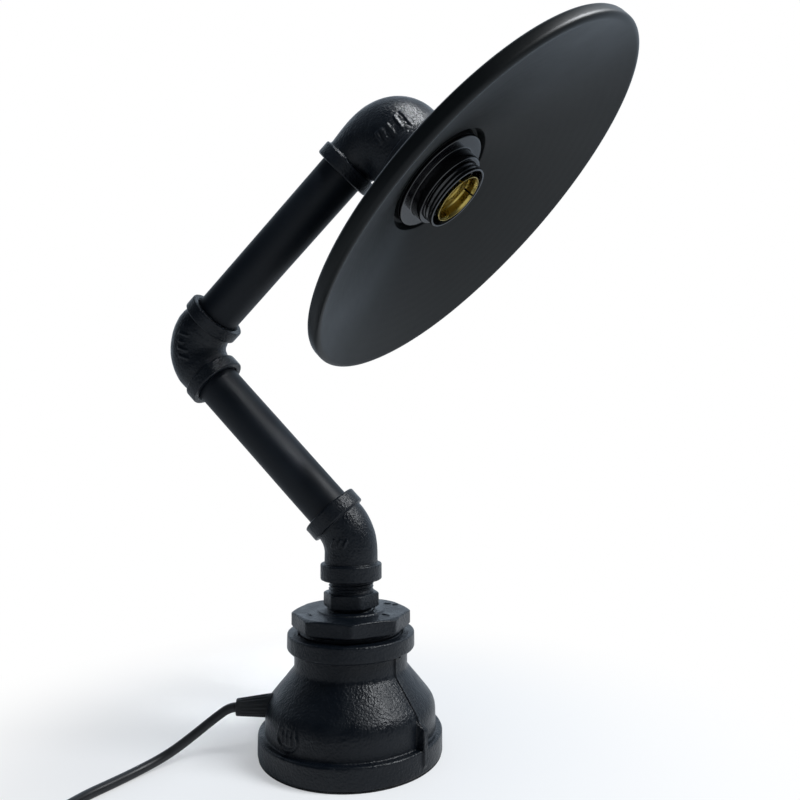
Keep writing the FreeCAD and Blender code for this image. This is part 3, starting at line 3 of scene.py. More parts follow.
import bmesh
import bpy
import numpy as np
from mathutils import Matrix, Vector


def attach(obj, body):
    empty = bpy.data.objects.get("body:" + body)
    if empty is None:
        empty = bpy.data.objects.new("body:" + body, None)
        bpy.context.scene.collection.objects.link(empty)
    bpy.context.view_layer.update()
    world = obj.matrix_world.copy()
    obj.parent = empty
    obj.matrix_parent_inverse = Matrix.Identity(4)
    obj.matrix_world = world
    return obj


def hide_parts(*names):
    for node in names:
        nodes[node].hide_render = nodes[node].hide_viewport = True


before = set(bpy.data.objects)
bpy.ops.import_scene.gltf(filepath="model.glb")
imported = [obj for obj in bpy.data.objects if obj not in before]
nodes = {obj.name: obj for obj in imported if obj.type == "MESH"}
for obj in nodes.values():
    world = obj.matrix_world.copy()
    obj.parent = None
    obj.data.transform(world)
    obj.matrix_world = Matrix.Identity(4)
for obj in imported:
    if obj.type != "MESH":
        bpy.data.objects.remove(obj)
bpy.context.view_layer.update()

mm = 0.001


# ---- The studio -------------------------------------------------------------------------------
# A white sweep behind and under the lamp, a dim room on the camera's side, which is what black
# paint mirrors, one large soft light above on the right and a small one over the head.

def new_material(name):
    """A node material with its tree's nodes, its links and its Principled shader."""
    made = bpy.data.materials.new(name)
    made.use_nodes = True
    return made, made.node_tree.nodes, made.node_tree.links, made.node_tree.nodes["Principled BSDF"]


def join_values(tree, operation, first, second):
    """Output of a Math node that joins two outputs, or an output and a number."""
    joint = tree.nodes.new("ShaderNodeMath")
    joint.operation = operation
    for place, given in enumerate((first, second)):
        if isinstance(given, (int, float)):
            joint.inputs[place].default_value = given
        else:
            tree.links.new(given, joint.inputs[place])
    return joint.outputs[0]


def ramp(tree, given, low, high, low_value, high_value):
    """A value that runs smoothly from low_value to high_value as the given one runs from low to high."""
    spread = tree.nodes.new("ShaderNodeMapRange")
    spread.interpolation_type = "SMOOTHSTEP"
    tree.links.new(given, spread.inputs["Value"])
    ends = (("From Min", low), ("From Max", high), ("To Min", low_value), ("To Max", high_value))
    for socket, number in ends:
        spread.inputs[socket].default_value = number
    return spread.outputs[0]


floor_half = 3.0
shadow_reach, white_from, shadow_white = 0.07, 0.30, 0.35
floor_corners = [(-floor_half, -floor_half, 0), (floor_half, -floor_half, 0),
                 (floor_half, floor_half, 0), (-floor_half, floor_half, 0)]
floor_mesh = bpy.data.meshes.new("studio_floor")
floor_mesh.from_pydata(floor_corners, [], [(0, 1, 2, 3)])
floor = bpy.data.objects.new("studio_floor", floor_mesh)
bpy.context.scene.collection.objects.link(floor)
floor_paint, floor_nodes, floor_links, floor_shader = new_material("studio_floor")
floor_shader.inputs["Base Color"].default_value = (0.86, 0.86, 0.86, 1)
floor_shader.inputs["Roughness"].default_value = 0.9
floor_shader.inputs["Specular IOR Level"].default_value = 0.1
floor_place = floor_nodes.new("ShaderNodeTexCoord")
floor_distance = floor_nodes.new("ShaderNodeVectorMath")
floor_distance.operation = "LENGTH"
floor_links.new(floor_place.outputs["Object"], floor_distance.inputs[0])
floor_path = floor_nodes.new("ShaderNodeLightPath")
floor_white = floor_nodes.new("ShaderNodeEmission")
floor_white.inputs["Strength"].default_value = 1.0
floor_tree = floor_paint.node_tree
floor_far = ramp(floor_tree, floor_distance.outputs["Value"], shadow_reach, white_from, shadow_white, 1.0)
floor_seen = join_values(floor_tree, "MULTIPLY", floor_far, floor_path.outputs["Is Camera Ray"])
floor_mix = floor_nodes.new("ShaderNodeMixShader")
floor_links.new(floor_seen, floor_mix.inputs[0])
floor_links.new(floor_shader.outputs[0], floor_mix.inputs[1])
floor_links.new(floor_white.outputs[0], floor_mix.inputs[2])
floor_links.new(floor_mix.outputs[0], floor_nodes["Material Output"].inputs["Surface"])
floor_mesh.materials.append(floor_paint)

world = bpy.data.worlds.new("studio")
world.use_nodes = True
bpy.context.scene.world = world
sky = world.node_tree
room_light = sky.nodes["Background"]
room_light.inputs["Color"].default_value = (0.32, 0.37, 0.43, 1)
sweep = sky.nodes.new("ShaderNodeBackground")
tinted = sky.nodes.new("ShaderNodeMix")
tinted.data_type = "RGBA"
tinted.inputs["A"].default_value = (0.80, 0.94, 1.10, 1)
tinted.inputs["B"].default_value = (1, 1, 1, 1)
sky_way = sky.nodes.new("ShaderNodeTexCoord")
sky_parts = sky.nodes.new("ShaderNodeSeparateXYZ")
sky.links.new(sky_way.outputs["Generated"], sky_parts.inputs[0])
sky_path = sky.nodes.new("ShaderNodeLightPath")
seen = sky_path.outputs["Is Camera Ray"]
sky.links.new(seen, tinted.inputs["Factor"])
sky.links.new(tinted.outputs["Result"], sweep.inputs["Color"])
room_side, sweep_side, room_strength, back_strength = -0.2, 0.8, 0.04, 0.9
behind = ramp(sky, sky_parts.outputs["Y"], room_side, sweep_side, room_strength, back_strength)
mirrored = join_values(sky, "MAXIMUM", sky_path.outputs["Is Glossy Ray"],
                       sky_path.outputs["Is Transmission Ray"])
sweep_strength = join_values(sky, "MAXIMUM", behind, seen)
sky.links.new(sweep_strength, sweep.inputs["Strength"])
choose = sky.nodes.new("ShaderNodeMixShader")
sky.links.new(join_values(sky, "MAXIMUM", mirrored, seen), choose.inputs[0])
sky.links.new(room_light.outputs[0], choose.inputs[1])
sky.links.new(sweep.outputs[0], choose.inputs[2])
sky.links.new(choose.outputs[0], sky.nodes["World Output"].inputs["Surface"])


def soft_light(name, place, aim, width, height, watts, spread=180):
    """A rectangular soft light that shines from place towards aim, within a cone of that spread."""
    data = bpy.data.lights.new(name, "AREA")
    data.shape = "RECTANGLE"
    data.size = width
    data.size_y = height
    data.energy = watts
    data.spread = math.radians(spread)
    data.color = (0.94, 0.97, 1.0)
    lamp = bpy.data.objects.new(name, data)
    lamp.location = place
    way = Vector(aim) - Vector(place)
    lamp.rotation_euler = way.to_track_quat("-Z", "Y").to_euler()
    bpy.context.scene.collection.objects.link(lamp)


soft_light("key_light", (0.98, -0.12, 1.22), (0.0, 0.0, 0.15), 0.5, 0.5, 21)
soft_light("head_light", (0.095, -0.135, 0.60), (0.04, -0.045, 0.375), 0.12, 0.12, 0.072, 18)
bpy.context.scene.view_settings.view_transform = "Standard"

# ---- The camera -------------------------------------------------------------------------------
# A phone-like view from 0.4 m in front of the lamp, a little below the height of its middle elbow.

lens = bpy.data.cameras.new("camera")
lens.sensor_width = 36.0
lens.lens = 29.76
lens.shift_x = 0.0021
lens.shift_y = -0.0016
lens.clip_start = 0.01
lens.clip_end = 20.0
camera = bpy.data.objects.new("camera", lens)
camera.location = (84.239 * mm, -390.546 * mm, 170.168 * mm)
camera.rotation_euler = (math.radians(94.715), math.radians(0.258), math.radians(8.12))
bpy.context.scene.collection.objects.link(camera)
bpy.context.scene.camera = camera


# ---- Foam pad ---------------------------------------------------------------------------------
# A disc of black foam glued under the rim of the base, so that the iron does not scratch the table.
# Die-cut from thin sheet, its edge rounded by the lamp's weight.

plain_fillet, arc_step = 0.12, 0.26


def rounded(corners, step, closed):
    """Line through (radius, height, fillet) corners: an arc of its fillet at each corner, at most
    half a side long, and even steps of about the given length between the arcs."""
    spots = np.array([corner[:2] for corner in corners], float)
    fillets = [corner[2] if len(corner) > 2 else plain_fillet for corner in corners]
    count = len(corners)
    arcs = []
    for k in range(count):
        here = spots[k]
        if not closed and k in (0, count - 1):
            arcs.append(here[None, :])
            continue
        back, onward = spots[k - 1] - here, spots[(k + 1) % count] - here
        back_length, on_length = np.linalg.norm(back), np.linalg.norm(onward)
        back, onward = back / back_length, onward / on_length
        bend = math.pi - math.acos(np.clip(back @ onward, -1, 1))
        if bend < 0.01:
            arcs.append(here[None, :])
            continue
        reach = min(fillets[k] * math.tan(bend / 2), 0.48 * min(back_length, on_length))
        radius = reach / math.tan(bend / 2)
        centre = here + (back + onward) / np.linalg.norm(back + onward) * radius / math.cos(bend / 2)
        first, last = here + back * reach - centre, here + onward * reach - centre
        start = math.atan2(first[1], first[0])
        sweep_angle = (math.atan2(last[1], last[0]) - start + math.pi) % (2 * math.pi) - math.pi
        angle = start + sweep_angle * np.linspace(0, 1, max(3, math.ceil(bend / arc_step) + 1))
        arcs.append(centre + radius * np.column_stack([np.cos(angle), np.sin(angle)]))
    line = []
    for k in range(count if closed else count - 1):
        line.append(arcs[k])
        gap_start, gap_end = arcs[k][-1], arcs[(k + 1) % count][0]
        steps = max(1, math.ceil(np.linalg.norm(gap_end - gap_start) / step))
        line.append(gap_start + (gap_end - gap_start) * np.linspace(0, 1, steps + 1)[1:-1, None])
    if not closed:
        line.append(arcs[-1])
    return np.concatenate(line)


def woven(name, points, closed):
    """Smooth mesh of a grid of points in millimetres. Columns always join round the piece; rows join
    end to end when the line is closed, and otherwise the first and last rows shrink to one vertex."""
    rows, columns = points.shape[:2]
    index = np.arange(rows * columns).reshape(rows, columns)
    lower = index if closed else index[:-1]
    upper = np.roll(index, -1, 0) if closed else index[1:]
    faces = np.stack([lower, np.roll(lower, -1, 1), np.roll(upper, -1, 1), upper], -1).reshape(-1, 4)
    data = bpy.data.meshes.new(name)
    data.from_pydata((points.reshape(-1, 3) * mm).tolist(), [], faces.tolist())
    if not closed:
        shell = bmesh.new()
        shell.from_mesh(data)
        bmesh.ops.remove_doubles(shell, verts=shell.verts, dist=1e-7)
        shell.to_mesh(data)
        shell.free()
    data.shade_smooth()
    piece = bpy.data.objects.new(name, data)
    bpy.context.scene.collection.objects.link(piece)
    return piece


def straight(origin, axes):
    """Place of (radius, height, angle) about a straight axis through origin. The rows of axes are the
    two directions that the angle turns through and the direction of the height."""
    origin, axes = np.array(origin, float), np.array(axes, float)

    def place(radius, height, angle):
        return origin + np.stack([radius * np.cos(angle), radius * np.sin(angle), height], -1) @ axes
    return place


def facing(points, closed):
    """Unit normals of a grid of points: the cross product of the steps round it and along it."""
    around = np.roll(points, -1, 1) - np.roll(points, 1, 1)
    along = np.roll(points, -1, 0) - np.roll(points, 1, 0) if closed else np.gradient(points, axis=0)
    normal = np.cross(around, along)
    return normal / np.maximum(np.linalg.norm(normal, axis=-1, keepdims=True), 1e-9)


def turned(name, corners, place, columns=128, step=1.0, closed=True, shape=None, dress=None):
    """Piece whose surface is a line of (radius, height) carried round an axis. shape may change the
    radius and height by angle, and dress the height of the skin over the finished points."""
    line = rounded(corners, step, closed)
    if not isinstance(columns, np.ndarray):
        columns = np.linspace(0, 2 * math.pi, columns, endpoint=False)
    radius, angle = np.broadcast_arrays(line[:, :1], columns)
    height = np.broadcast_to(line[:, 1:], radius.shape)
    if shape:
        radius, height = shape(radius, height, angle)
    points = place(radius, height, angle)
    if dress:
        points = points + facing(points, closed) * dress(points, radius, height, angle)[..., None]
    return woven(name, points, closed)


def waves(points, wavelength, seed, count=18):
    """Smooth random field between about -1 and 1: plane waves of nearly that wavelength, each with its
    own way and phase, added up and divided by twice the usual size of their sum."""
    dice = np.random.default_rng(seed)
    way = dice.normal(size=(count, 3))
    length = np.linalg.norm(way, axis=1, keepdims=True)
    way *= 2 * math.pi / wavelength / length * dice.uniform(0.7, 1.4, (count, 1))
    phase = dice.uniform(0, 2 * math.pi, count)
    total = np.zeros(points.shape[:-1])
    for k in range(count):
        total += np.sin(points @ way[k] + phase[k])
    return total / (2 * math.sqrt(count / 2))


def finish(name, dark, light, rough, specular, patch, pebble=None, fine=None, metal=0.0):
    """Painted or moulded finish. Two close shades and two roughnesses, mixed by a noise of that patch
    size, and bumps of (size, depth) for the pebbles and the finest grain, all in millimetres."""
    made, made_nodes, links, shader = new_material(name)
    shader.inputs["Specular IOR Level"].default_value = specular
    shader.inputs["Metallic"].default_value = metal
    spot = made_nodes.new("ShaderNodeTexCoord")
    cloud = made_nodes.new("ShaderNodeTexNoise")
    cloud.inputs["Scale"].default_value = 1 / (patch * mm)
    cloud.inputs["Detail"].default_value = 3
    links.new(spot.outputs["Object"], cloud.inputs["Vector"])
    shades = made_nodes.new("ShaderNodeValToRGB")
    shades.color_ramp.elements[0].position = 0.32
    shades.color_ramp.elements[0].color = (*dark, 1)
    shades.color_ramp.elements[1].position = 0.68
    shades.color_ramp.elements[1].color = (*light, 1)
    links.new(cloud.outputs["Fac"], shades.inputs["Fac"])
    links.new(shades.outputs["Color"], shader.inputs["Base Color"])
    roughness = ramp(made.node_tree, cloud.outputs["Fac"], 0.3, 0.7, *rough)
    links.new(roughness, shader.inputs["Roughness"])
    before = None
    for size, depth in [bump for bump in (pebble, fine) if bump]:
        grain = made_nodes.new("ShaderNodeTexNoise")
        grain.inputs["Scale"].default_value = 1 / (size * mm)
        grain.inputs["Detail"].default_value = 2
        links.new(spot.outputs["Object"], grain.inputs["Vector"])
        relief = made_nodes.new("ShaderNodeBump")
        relief.inputs["Strength"].default_value = 1.0
        relief.inputs["Distance"].default_value = depth * mm
        links.new(grain.outputs["Fac"], relief.inputs["Height"])
        if before:
            links.new(before, relief.inputs["Normal"])
        before = relief.outputs["Normal"]
    if before:
        links.new(before, shader.inputs["Normal"])
    return made


def fitted(piece, body, slot, paint, *replaced):
    """Gives a piece its finish, lets it ride on its body and stand for CAD nodes. The slot is not used."""
    piece.data.materials.clear()
    piece.data.materials.append(paint)
    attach(piece, body)
    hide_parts(*replaced)


def kept(paint, *names):
    """CAD nodes whose shape is right, given their finish."""
    for name in names:
        nodes[name].data.materials.clear()
        nodes[name].data.materials.append(paint)


upright = np.eye(3)
on_table = straight((0, 0, 0), upright)
pad_radius, pad_top = 52.5, 1.0
foam = finish("black_foam", (0.012, 0.012, 0.013), (0.03, 0.03, 0.03), (0.85, 0.95), 0.2, 3,
              fine=(0.5, 0.12))
fitted(turned("foam_pad", [(0, 0), (pad_radius, 0, 0.3), (pad_radius, pad_top, 0.3), (0, pad_top)],
              on_table, step=4, closed=False), "root", "foam", foam, "base_pad")

# ---- Reducing coupling, the base --------------------------------------------------------------
# A malleable iron reducing coupling, cast in sand and standing on its large end, painted black. It
# has a bead round both ends, a parting fin and a wrench rib on two sides and a plain oval cast mark.

iron = finish("painted_iron", (0.0020, 0.0036, 0.0062), (0.0040, 0.0060, 0.0090), (0.30, 0.40), 0.26, 9,
              pebble=(1.3, 0.42), fine=(0.45, 0.05))
rim_z = 1.0
bead_radius, bead_top = 52.9, 12.9
barrel_radius, neck_radius = 49.05, 32.9
slope = math.tan(math.radians(39.6))
shoulder_radius, shoulder_z = 46.3, 30.95
top_bead_radius, top_bead_foot, coupling_top = 37.1, 57.38, 66.98
mouth_radius, mouth_top, thread_hole = 43.5, 19.0, 29.85
socket_floor, waist_radius = 51.7, 27.9
rib_angles = (math.radians(-30), math.radians(150))
mark_angle, mark_z = math.radians(-121), 20.6


def near(distance, inner, outer):
    """1 up to the inner distance, 0 from the outer one, smooth between."""
    share = np.clip((outer - np.abs(distance)) / (outer - inner), 0, 1)
    return share * share * (3 - 2 * share)


def cast_skin(seed, amount=0.07):
    """Low lumps that a sand mould leaves: a broad field and a finer one at half its height."""
    def dress(points, radius, height, angle):
        return amount * (waves(points, 17, seed) + 0.5 * waves(points, 6, seed + 1))
    return dress


def raised(points, strokes, reach, height):
    """Cast marks: the full height on each stroke, falling smoothly to nothing at that reach from it."""
    nearest = np.full(points.shape[:-1], 1e9)
    for start, end in strokes:
        start, run = np.array(start, float), np.array(end, float) - np.array(start, float)
        share = np.clip((points - start) @ run / (run @ run), 0, 1)[..., None]
        nearest = np.minimum(nearest, np.linalg.norm(points - start - share * run, axis=-1))
    return height * near(nearest, 0.35 * reach, reach)


def ribbed(radius, height, angle):
    """The barrel and bead grow to the rib's radius near its azimuth; the fin lifts cone and neck."""
    surface = np.clip(shoulder_radius - (height - shoulder_z) * slope, neck_radius, barrel_radius)
    outside = (radius > surface - 1.5) & (height > rim_z + 3)
    grown = np.array(radius)
    for azimuth in rib_angles:
        off = radius * np.sin(angle - azimuth)
        ahead = np.cos(angle - azimuth) > 0
        rib = near(off, 1.4, 2.0) * near(height - 14.5, 8.5, 11.5)
        fin = near(off, 0.3, 0.9) * near(height - 41.0, 16.5, 17.5)
        lift = np.maximum(rib * np.maximum(bead_radius + 1.0 - radius, 0), fin * 0.9)
        grown = np.where(outside & ahead, grown + lift, grown)
    return grown, height


def coupling_skin(points, radius, height, angle):
    """Casting lumps and a plain oval ring round three bars, 16 by 11 mm, low at the front left. The
    mark stands where the distance to the ring or to the nearest bar is small."""
    across = barrel_radius * ((angle - mark_angle + math.pi) % (2 * math.pi) - math.pi)
    oval = (np.hypot(across / 7.6, (height - mark_z) / 4.9) - 1) * 5.8
    bars = np.where(np.abs(across) < 5, np.abs((across + 1.6) % 3.2 - 1.6), 9)
    bars = np.maximum(bars, np.abs(height - mark_z) - 2.0)
    mark = 0.9 * near(np.minimum(np.abs(oval), bars), 0.3, 0.8)
    mark = np.where(radius > barrel_radius - 2.5, mark, 0)
    return cast_skin(11)(points, radius, height, angle) * (radius > neck_radius - 1) + mark


ring_angles = [np.linspace(0, 2 * math.pi, 260, endpoint=False)]
for azimuth in rib_angles:
    ring_angles.append((azimuth + np.radians(np.linspace(-3.2, 3.2, 33))) % (2 * math.pi))
ring_angles.append(mark_angle % (2 * math.pi) + np.linspace(-0.2, 0.2, 61))
coupling = turned("base_coupling", [
    (mouth_radius, rim_z, 0.8), (bead_radius, rim_z, 0.9), (bead_radius, bead_top, 1.3),
    (barrel_radius, bead_top, 0.9), (barrel_radius, 27.63, 12), (neck_radius, 47.15, 4),
    (neck_radius, top_bead_foot, 0.6), (top_bead_radius, top_bead_foot, 1.8),
    (top_bead_radius, coupling_top, 1.2), (31.4, coupling_top, 0.5),
    (thread_hole, coupling_top - 1.6, 0.4), (thread_hole, socket_floor, 0.3),
    (waist_radius, socket_floor, 0.5), (waist_radius, 49.2, 2), (mouth_radius, mouth_top, 3),
], on_table, np.unique(np.concatenate(ring_angles)), 0.8, shape=ribbed, dress=coupling_skin)
fitted(coupling, "root", "casting", iron, "reducing_coupling")

# ---- Octagon bushing --------------------------------------------------------------------------
# A cast reducing bushing with an octagon head whose corners are turned off, screwed into the
# coupling; a few turns of its thread stay bare. Plain dots are cast on its top face.

octagon_foot, octagon_top, boss_top = 69.78, 78.58, 79.38
octagon_flat, octagon_corner, octagon_turn = 32.5, 35.18, math.radians(-33)
octagon_chamfer, octagon_cut = 2.4, 1.3
bushing_thread, bushing_foot, hollow_radius, passage_radius = 29.8, 52, 22, 13.3
bushing_marks = [((17.6, 17.8, 78.6), (20.1, 18.1, 78.6)), ((22.9, 15.7, 78.6), (24.7, 16.0, 78.6)),
                 ((20.9, -9.7, 78.6), (24.1, -11.7, 78.6)), ((-22.0, -14.0, 78.6), (-20.0, -16.5, 78.6))]


def many_sided(sides, flat, first_corner, angle):
    """Distance from the axis to the side of a regular polygon: the flat over the cosine of the angle
    off the side's middle, held by a soft minimum to a circle just inside the corners."""
    part = 2 * math.pi / sides
    off = (angle - first_corner) % part - part / 2
    sharp = flat / np.cos(off)
    blunt = flat / math.cos(part / 2) - 0.35
    return -np.logaddexp(-sharp / 0.12, -blunt / 0.12) * 0.12


def screwed(radius, height, angle, pitch, depth, low, high):
    """Radius less a right-hand thread: that depth times a clipped cosine of height over pitch less
    turns, which fades out at both ends."""
    phase = height / pitch - angle / (2 * math.pi)
    groove = np.clip(0.5 + 0.75 * np.cos(2 * math.pi * phase), 0, 1)
    middle, reach = (low + high) / 2, (high - low) / 2
    return radius - depth * groove * near(height - middle, reach - pitch / 2, reach)


def bushing_shape(radius, height, angle):
    """Octagon where the line stands out as the head, helical thread below it, round elsewhere."""
    side = many_sided(8, octagon_flat, octagon_turn, angle)
    edge = np.minimum(height - octagon_foot, octagon_top - height)
    turned_off = octagon_corner - octagon_chamfer + octagon_chamfer * np.clip(edge / octagon_cut, 0, 1)
    head = np.minimum(side, turned_off)
    share = np.clip((radius - hollow_radius) / (octagon_flat - hollow_radius), 0, 1)
    share = share * (height > octagon_foot - 0.5)
    thread = screwed(radius, height, angle, 2.3, 0.9, 53.0, 69.9)
    on_thread = (radius > 29) & (height < octagon_foot - 0.1)
    return np.where(on_thread, thread, radius + share * (head - octagon_flat)), height


def bushing_skin(points, radius, height, angle):
    """Casting lumps and the dots on the top face."""
    top = (height > octagon_top - 0.3) & (radius > 20)
    dots = top * raised(points, bushing_marks, 1.1, 0.6)
    return cast_skin(21, 0.05)(points, radius, height, angle) + dots


bushing = turned("octagon_bushing_piece", [
    (hollow_radius, bushing_foot, 0.5), (bushing_thread, bushing_foot, 0.6),
    (bushing_thread, octagon_foot, 0.2), (octagon_flat, octagon_foot, 1.1),
    (octagon_flat, octagon_top, 1.1), (20.2, octagon_top, 0.5), (19.5, boss_top, 0.4),
    (14.4, boss_top, 0.3), (passage_radius, 78.2, 0.2), (passage_radius, 63.4, 0.2), (hollow_radius, 62.8, 1),
], on_table, 288, 0.6, shape=bushing_shape, dress=bushing_skin)
fitted(bushing, "root", "casting", iron, "octagon_bushing")

# ---- Hexagon nipple ---------------------------------------------------------------------------
# A short nipple with a hexagon in its middle, screwed into the bushing. The arm swivels on its
# upper thread, of which three turns can be seen under the lower elbow.

nipple_foot, hex_foot, hex_top, nipple_top = 66.68, 80.88, 89.28, 108.38
hex_flat, hex_turn = 14.65, math.radians(-60)
nipple_thread, nipple_bore, thread_pitch, thread_depth = 13.2, 10, 1.9, 0.75


def nipple_shape(radius, height, angle):
    """Hexagon between its two faces, helical thread above and below it."""
    side = many_sided(6, hex_flat, hex_turn, angle)
    edge = np.minimum(height - hex_foot, hex_top - height)
    head = np.minimum(side, 15.5 + 1.4 * np.clip(edge / 1.2, 0, 1))
    thread = screwed(radius, height, angle, thread_pitch, thread_depth, hex_top + 0.2, nipple_top)
    thread = screwed(thread, height, angle, thread_pitch, thread_depth, nipple_foot, hex_foot - 0.2)
    share = np.clip((radius - 13.3) / (hex_flat - 13.3), 0, 1)
    inner = np.where(radius > 12.5, thread, radius)
    return np.where(radius > 13.25, radius + share * (head - hex_flat), inner), height


nipple = turned("hexagon_nipple_piece", [
    (nipple_bore, nipple_foot, 0.3), (nipple_thread, nipple_foot, 0.6), (nipple_thread, hex_foot, 0.15),
    (hex_flat, hex_foot, 0.7), (hex_flat, hex_top, 0.7), (nipple_thread, hex_top, 0.15),
    (nipple_thread, nipple_top, 0.6), (nipple_bore, nipple_top, 0.3),
], on_table, 144, 0.34, shape=nipple_shape, dress=cast_skin(31, 0.03))
fitted(nipple, "root", "casting", iron, "hex_nipple")

# ---- Lower elbow ------------------------------------------------------------------------------
# A malleable iron elbow of nearly 45 degrees with a bead at each mouth. It turns on the nipple and
# holds the lower pipe; three short plain bars are cast on its front.

lower_corner = np.array((0.0, 0.0, 122.591))
lower_turn, lower_bend, lower_reach = math.radians(42.9), 27, 26.21
lower_frame = np.array([(-1, 0, 0), (0, -1, 0), (0, 0, 1)], float)
lower_way = np.array((-0.6807209, 0.0, 0.7325429))
pipe_radius = 13.45


def bent(origin, axes, reach_in, bend, turn):
    """Place of (radius, length, angle) along a centre line that comes up the third axis, bends by the
    turn towards the first axis on an arc, and goes on straight; lengths count from its lower end."""
    origin, axes = np.array(origin, float), np.array(axes, float)
    tangent = bend * math.tan(turn / 2)

    def place(radius, length, angle):
        along = length - (reach_in - tangent)
        swing = np.clip(along / bend, 0, turn)
        past = np.maximum(along - bend * turn, 0)
        before = np.minimum(along, 0)
        centre_x = bend * (1 - np.cos(swing)) + past * math.sin(turn)
        centre_z = -tangent + bend * np.sin(swing) + past * math.cos(turn) + before
        inward = radius * np.cos(angle)
        local = np.stack([centre_x + inward * np.cos(swing), radius * np.sin(angle),
                          centre_z - inward * np.sin(swing)], -1)
        return origin + local @ axes
    return place


def elbow_line(total, body, bead, bead_length, hole, passage, waist=0.0):
    """Corners of an elbow's wall from mouth to mouth: beads outside, countersunk sockets inside. The
    body narrows by the waist beside each bead."""
    depth, sink, swell = 12.3, 1.4, bead_length + 6
    return [(hole + sink, 0, 0.3), (bead, 0, 1.0), (bead, bead_length, 1.0), (body - waist, bead_length, 0.6),
            (body, swell, 6), (body, total - swell, 6), (body - waist, total - bead_length, 0.6),
            (bead, total - bead_length, 1.0), (bead, total, 1.0),
            (hole + sink, total, 0.3), (hole, total - sink, 0.3), (hole, total - depth, 0.2),
            (passage, total - depth - 0.4, 0.4), (passage, depth + 0.4, 0.4),
            (hole, depth, 0.2), (hole, sink, 0.3)]


def marked_skin(seed, strokes):
    """Casting lumps with cast strokes on the outside."""
    def dress(points, radius, height, angle):
        marks = raised(points, strokes, 1.15, 0.55) * (radius > 15)
        return cast_skin(seed)(points, radius, height, angle) + marks
    return dress


lower_marks = [((-8.7, -13.5, 116.9), (-6.9, -14.8, 120.5)), ((-4.7, -15.1, 116.9), (-3.2, -15.6, 120.3)),
               ((-1.1, -15.7, 116.7), (0.6, -15.6, 120.1))]
lower_length = 15.6 + lower_bend * lower_turn + 9.5
lower_elbow = turned("lower_elbow_piece", elbow_line(lower_length, 15.7, 18.1, 9.4, pipe_radius, 12.1),
                     bent(lower_corner, lower_frame, lower_reach, lower_bend, lower_turn), 232, 0.55,
                     dress=marked_skin(41, lower_marks))
fitted(lower_elbow, "lower_arm", "casting", iron, "elbow_45")

# ---- Lower pipe -------------------------------------------------------------------------------
# A length of three-quarter inch steel pipe, drawn smooth and painted satin black, screwed into
# both elbows.

pipe_paint = finish("satin_pipe", (0.0020, 0.0037, 0.0064), (0.0030, 0.0050, 0.0082), (0.44, 0.50), 0.22, 22,
                    pebble=(3.0, 0.02), fine=(0.7, 0.015))
pipe_bore = 10.85
across_lower = np.array((0.0, 1.0, 0.0))


def pipe_skin(seed):
    """The slight waviness of drawn pipe: long low plane waves."""
    def dress(points, radius, height, angle):
        return 0.03 * waves(points, 45, seed)
    return dress


def pipe_piece(name, foot, way, side, length, seed):
    """Pipe wall of that length along its way, both ends slightly broken."""
    axes = np.array([np.cross(side, way), side, way])
    return turned(name, [(pipe_bore, 0, 0.3), (pipe_radius, 0, 0.6), (pipe_radius, length, 0.6),
                         (pipe_bore, length, 0.3)], straight(foot, axes), 144, 2.0, dress=pipe_skin(seed))


lower_pipe = pipe_piece("lower_pipe_piece", (-5.5195, 0, 128.5305), lower_way, across_lower, 128.4, 51)
fitted(lower_pipe, "lower_arm", "pipe", pipe_paint, "lower_pipe")

# ---- Middle elbow -----------------------------------------------------------------------------
# A right-angled elbow like the lower one, turned a few degrees towards the front. It swivels on the
# lower pipe; four short plain bars are cast on its heel.

middle_corner = np.array((-105.5855, 0.0, 236.2143))
middle_side = np.array((0.1196433, 0.9865722, 0.1111794))
upper_way = np.array((0.7227064, -0.163326, 0.6715803))
middle_frame = np.array([upper_way, middle_side, lower_way])
middle_marks = [((-102.6, -17.3, 243.7), (-96.8, -18.5, 241.4)),
                ((-102.9, -17.1, 238.8), (-100.3, -17.7, 237.7)),
                ((-103.3, -16.6, 234.6), (-97.8, -17.3, 232.5)),
                ((-102.8, -16.2, 229.8), (-97.3, -16.9, 227.7))]
middle_turn, middle_bend, middle_reach = math.pi / 2, 19, 30.6
middle_length = 2 * 11.6 + middle_bend * middle_turn
middle_elbow = turned("middle_elbow_piece",
                      elbow_line(middle_length, 16.7, 18.0, 8.0, pipe_radius, 12.9, 0.9),
                      bent(middle_corner, middle_frame, middle_reach, middle_bend, middle_turn), 240, 0.55,
                      dress=marked_skin(61, middle_marks))
fitted(middle_elbow, "upper_arm", "casting", iron, "middle_elbow")

# ---- Upper pipe -------------------------------------------------------------------------------
# The same pipe as below, a little longer.

upper_pipe = pipe_piece("upper_pipe_piece", (-92.1432, -3.0379, 248.7057), upper_way, middle_side, 137.9, 71)
fitted(upper_pipe, "upper_arm", "pipe", pipe_paint, "upper_pipe")

# ---- Head elbow -------------------------------------------------------------------------------
# A reducing elbow, cast in one: a leg for the pipe that runs into a large round dome, whose mouth
# holds the lampholder. It swivels on the upper pipe and has five plain bars cast on its front.

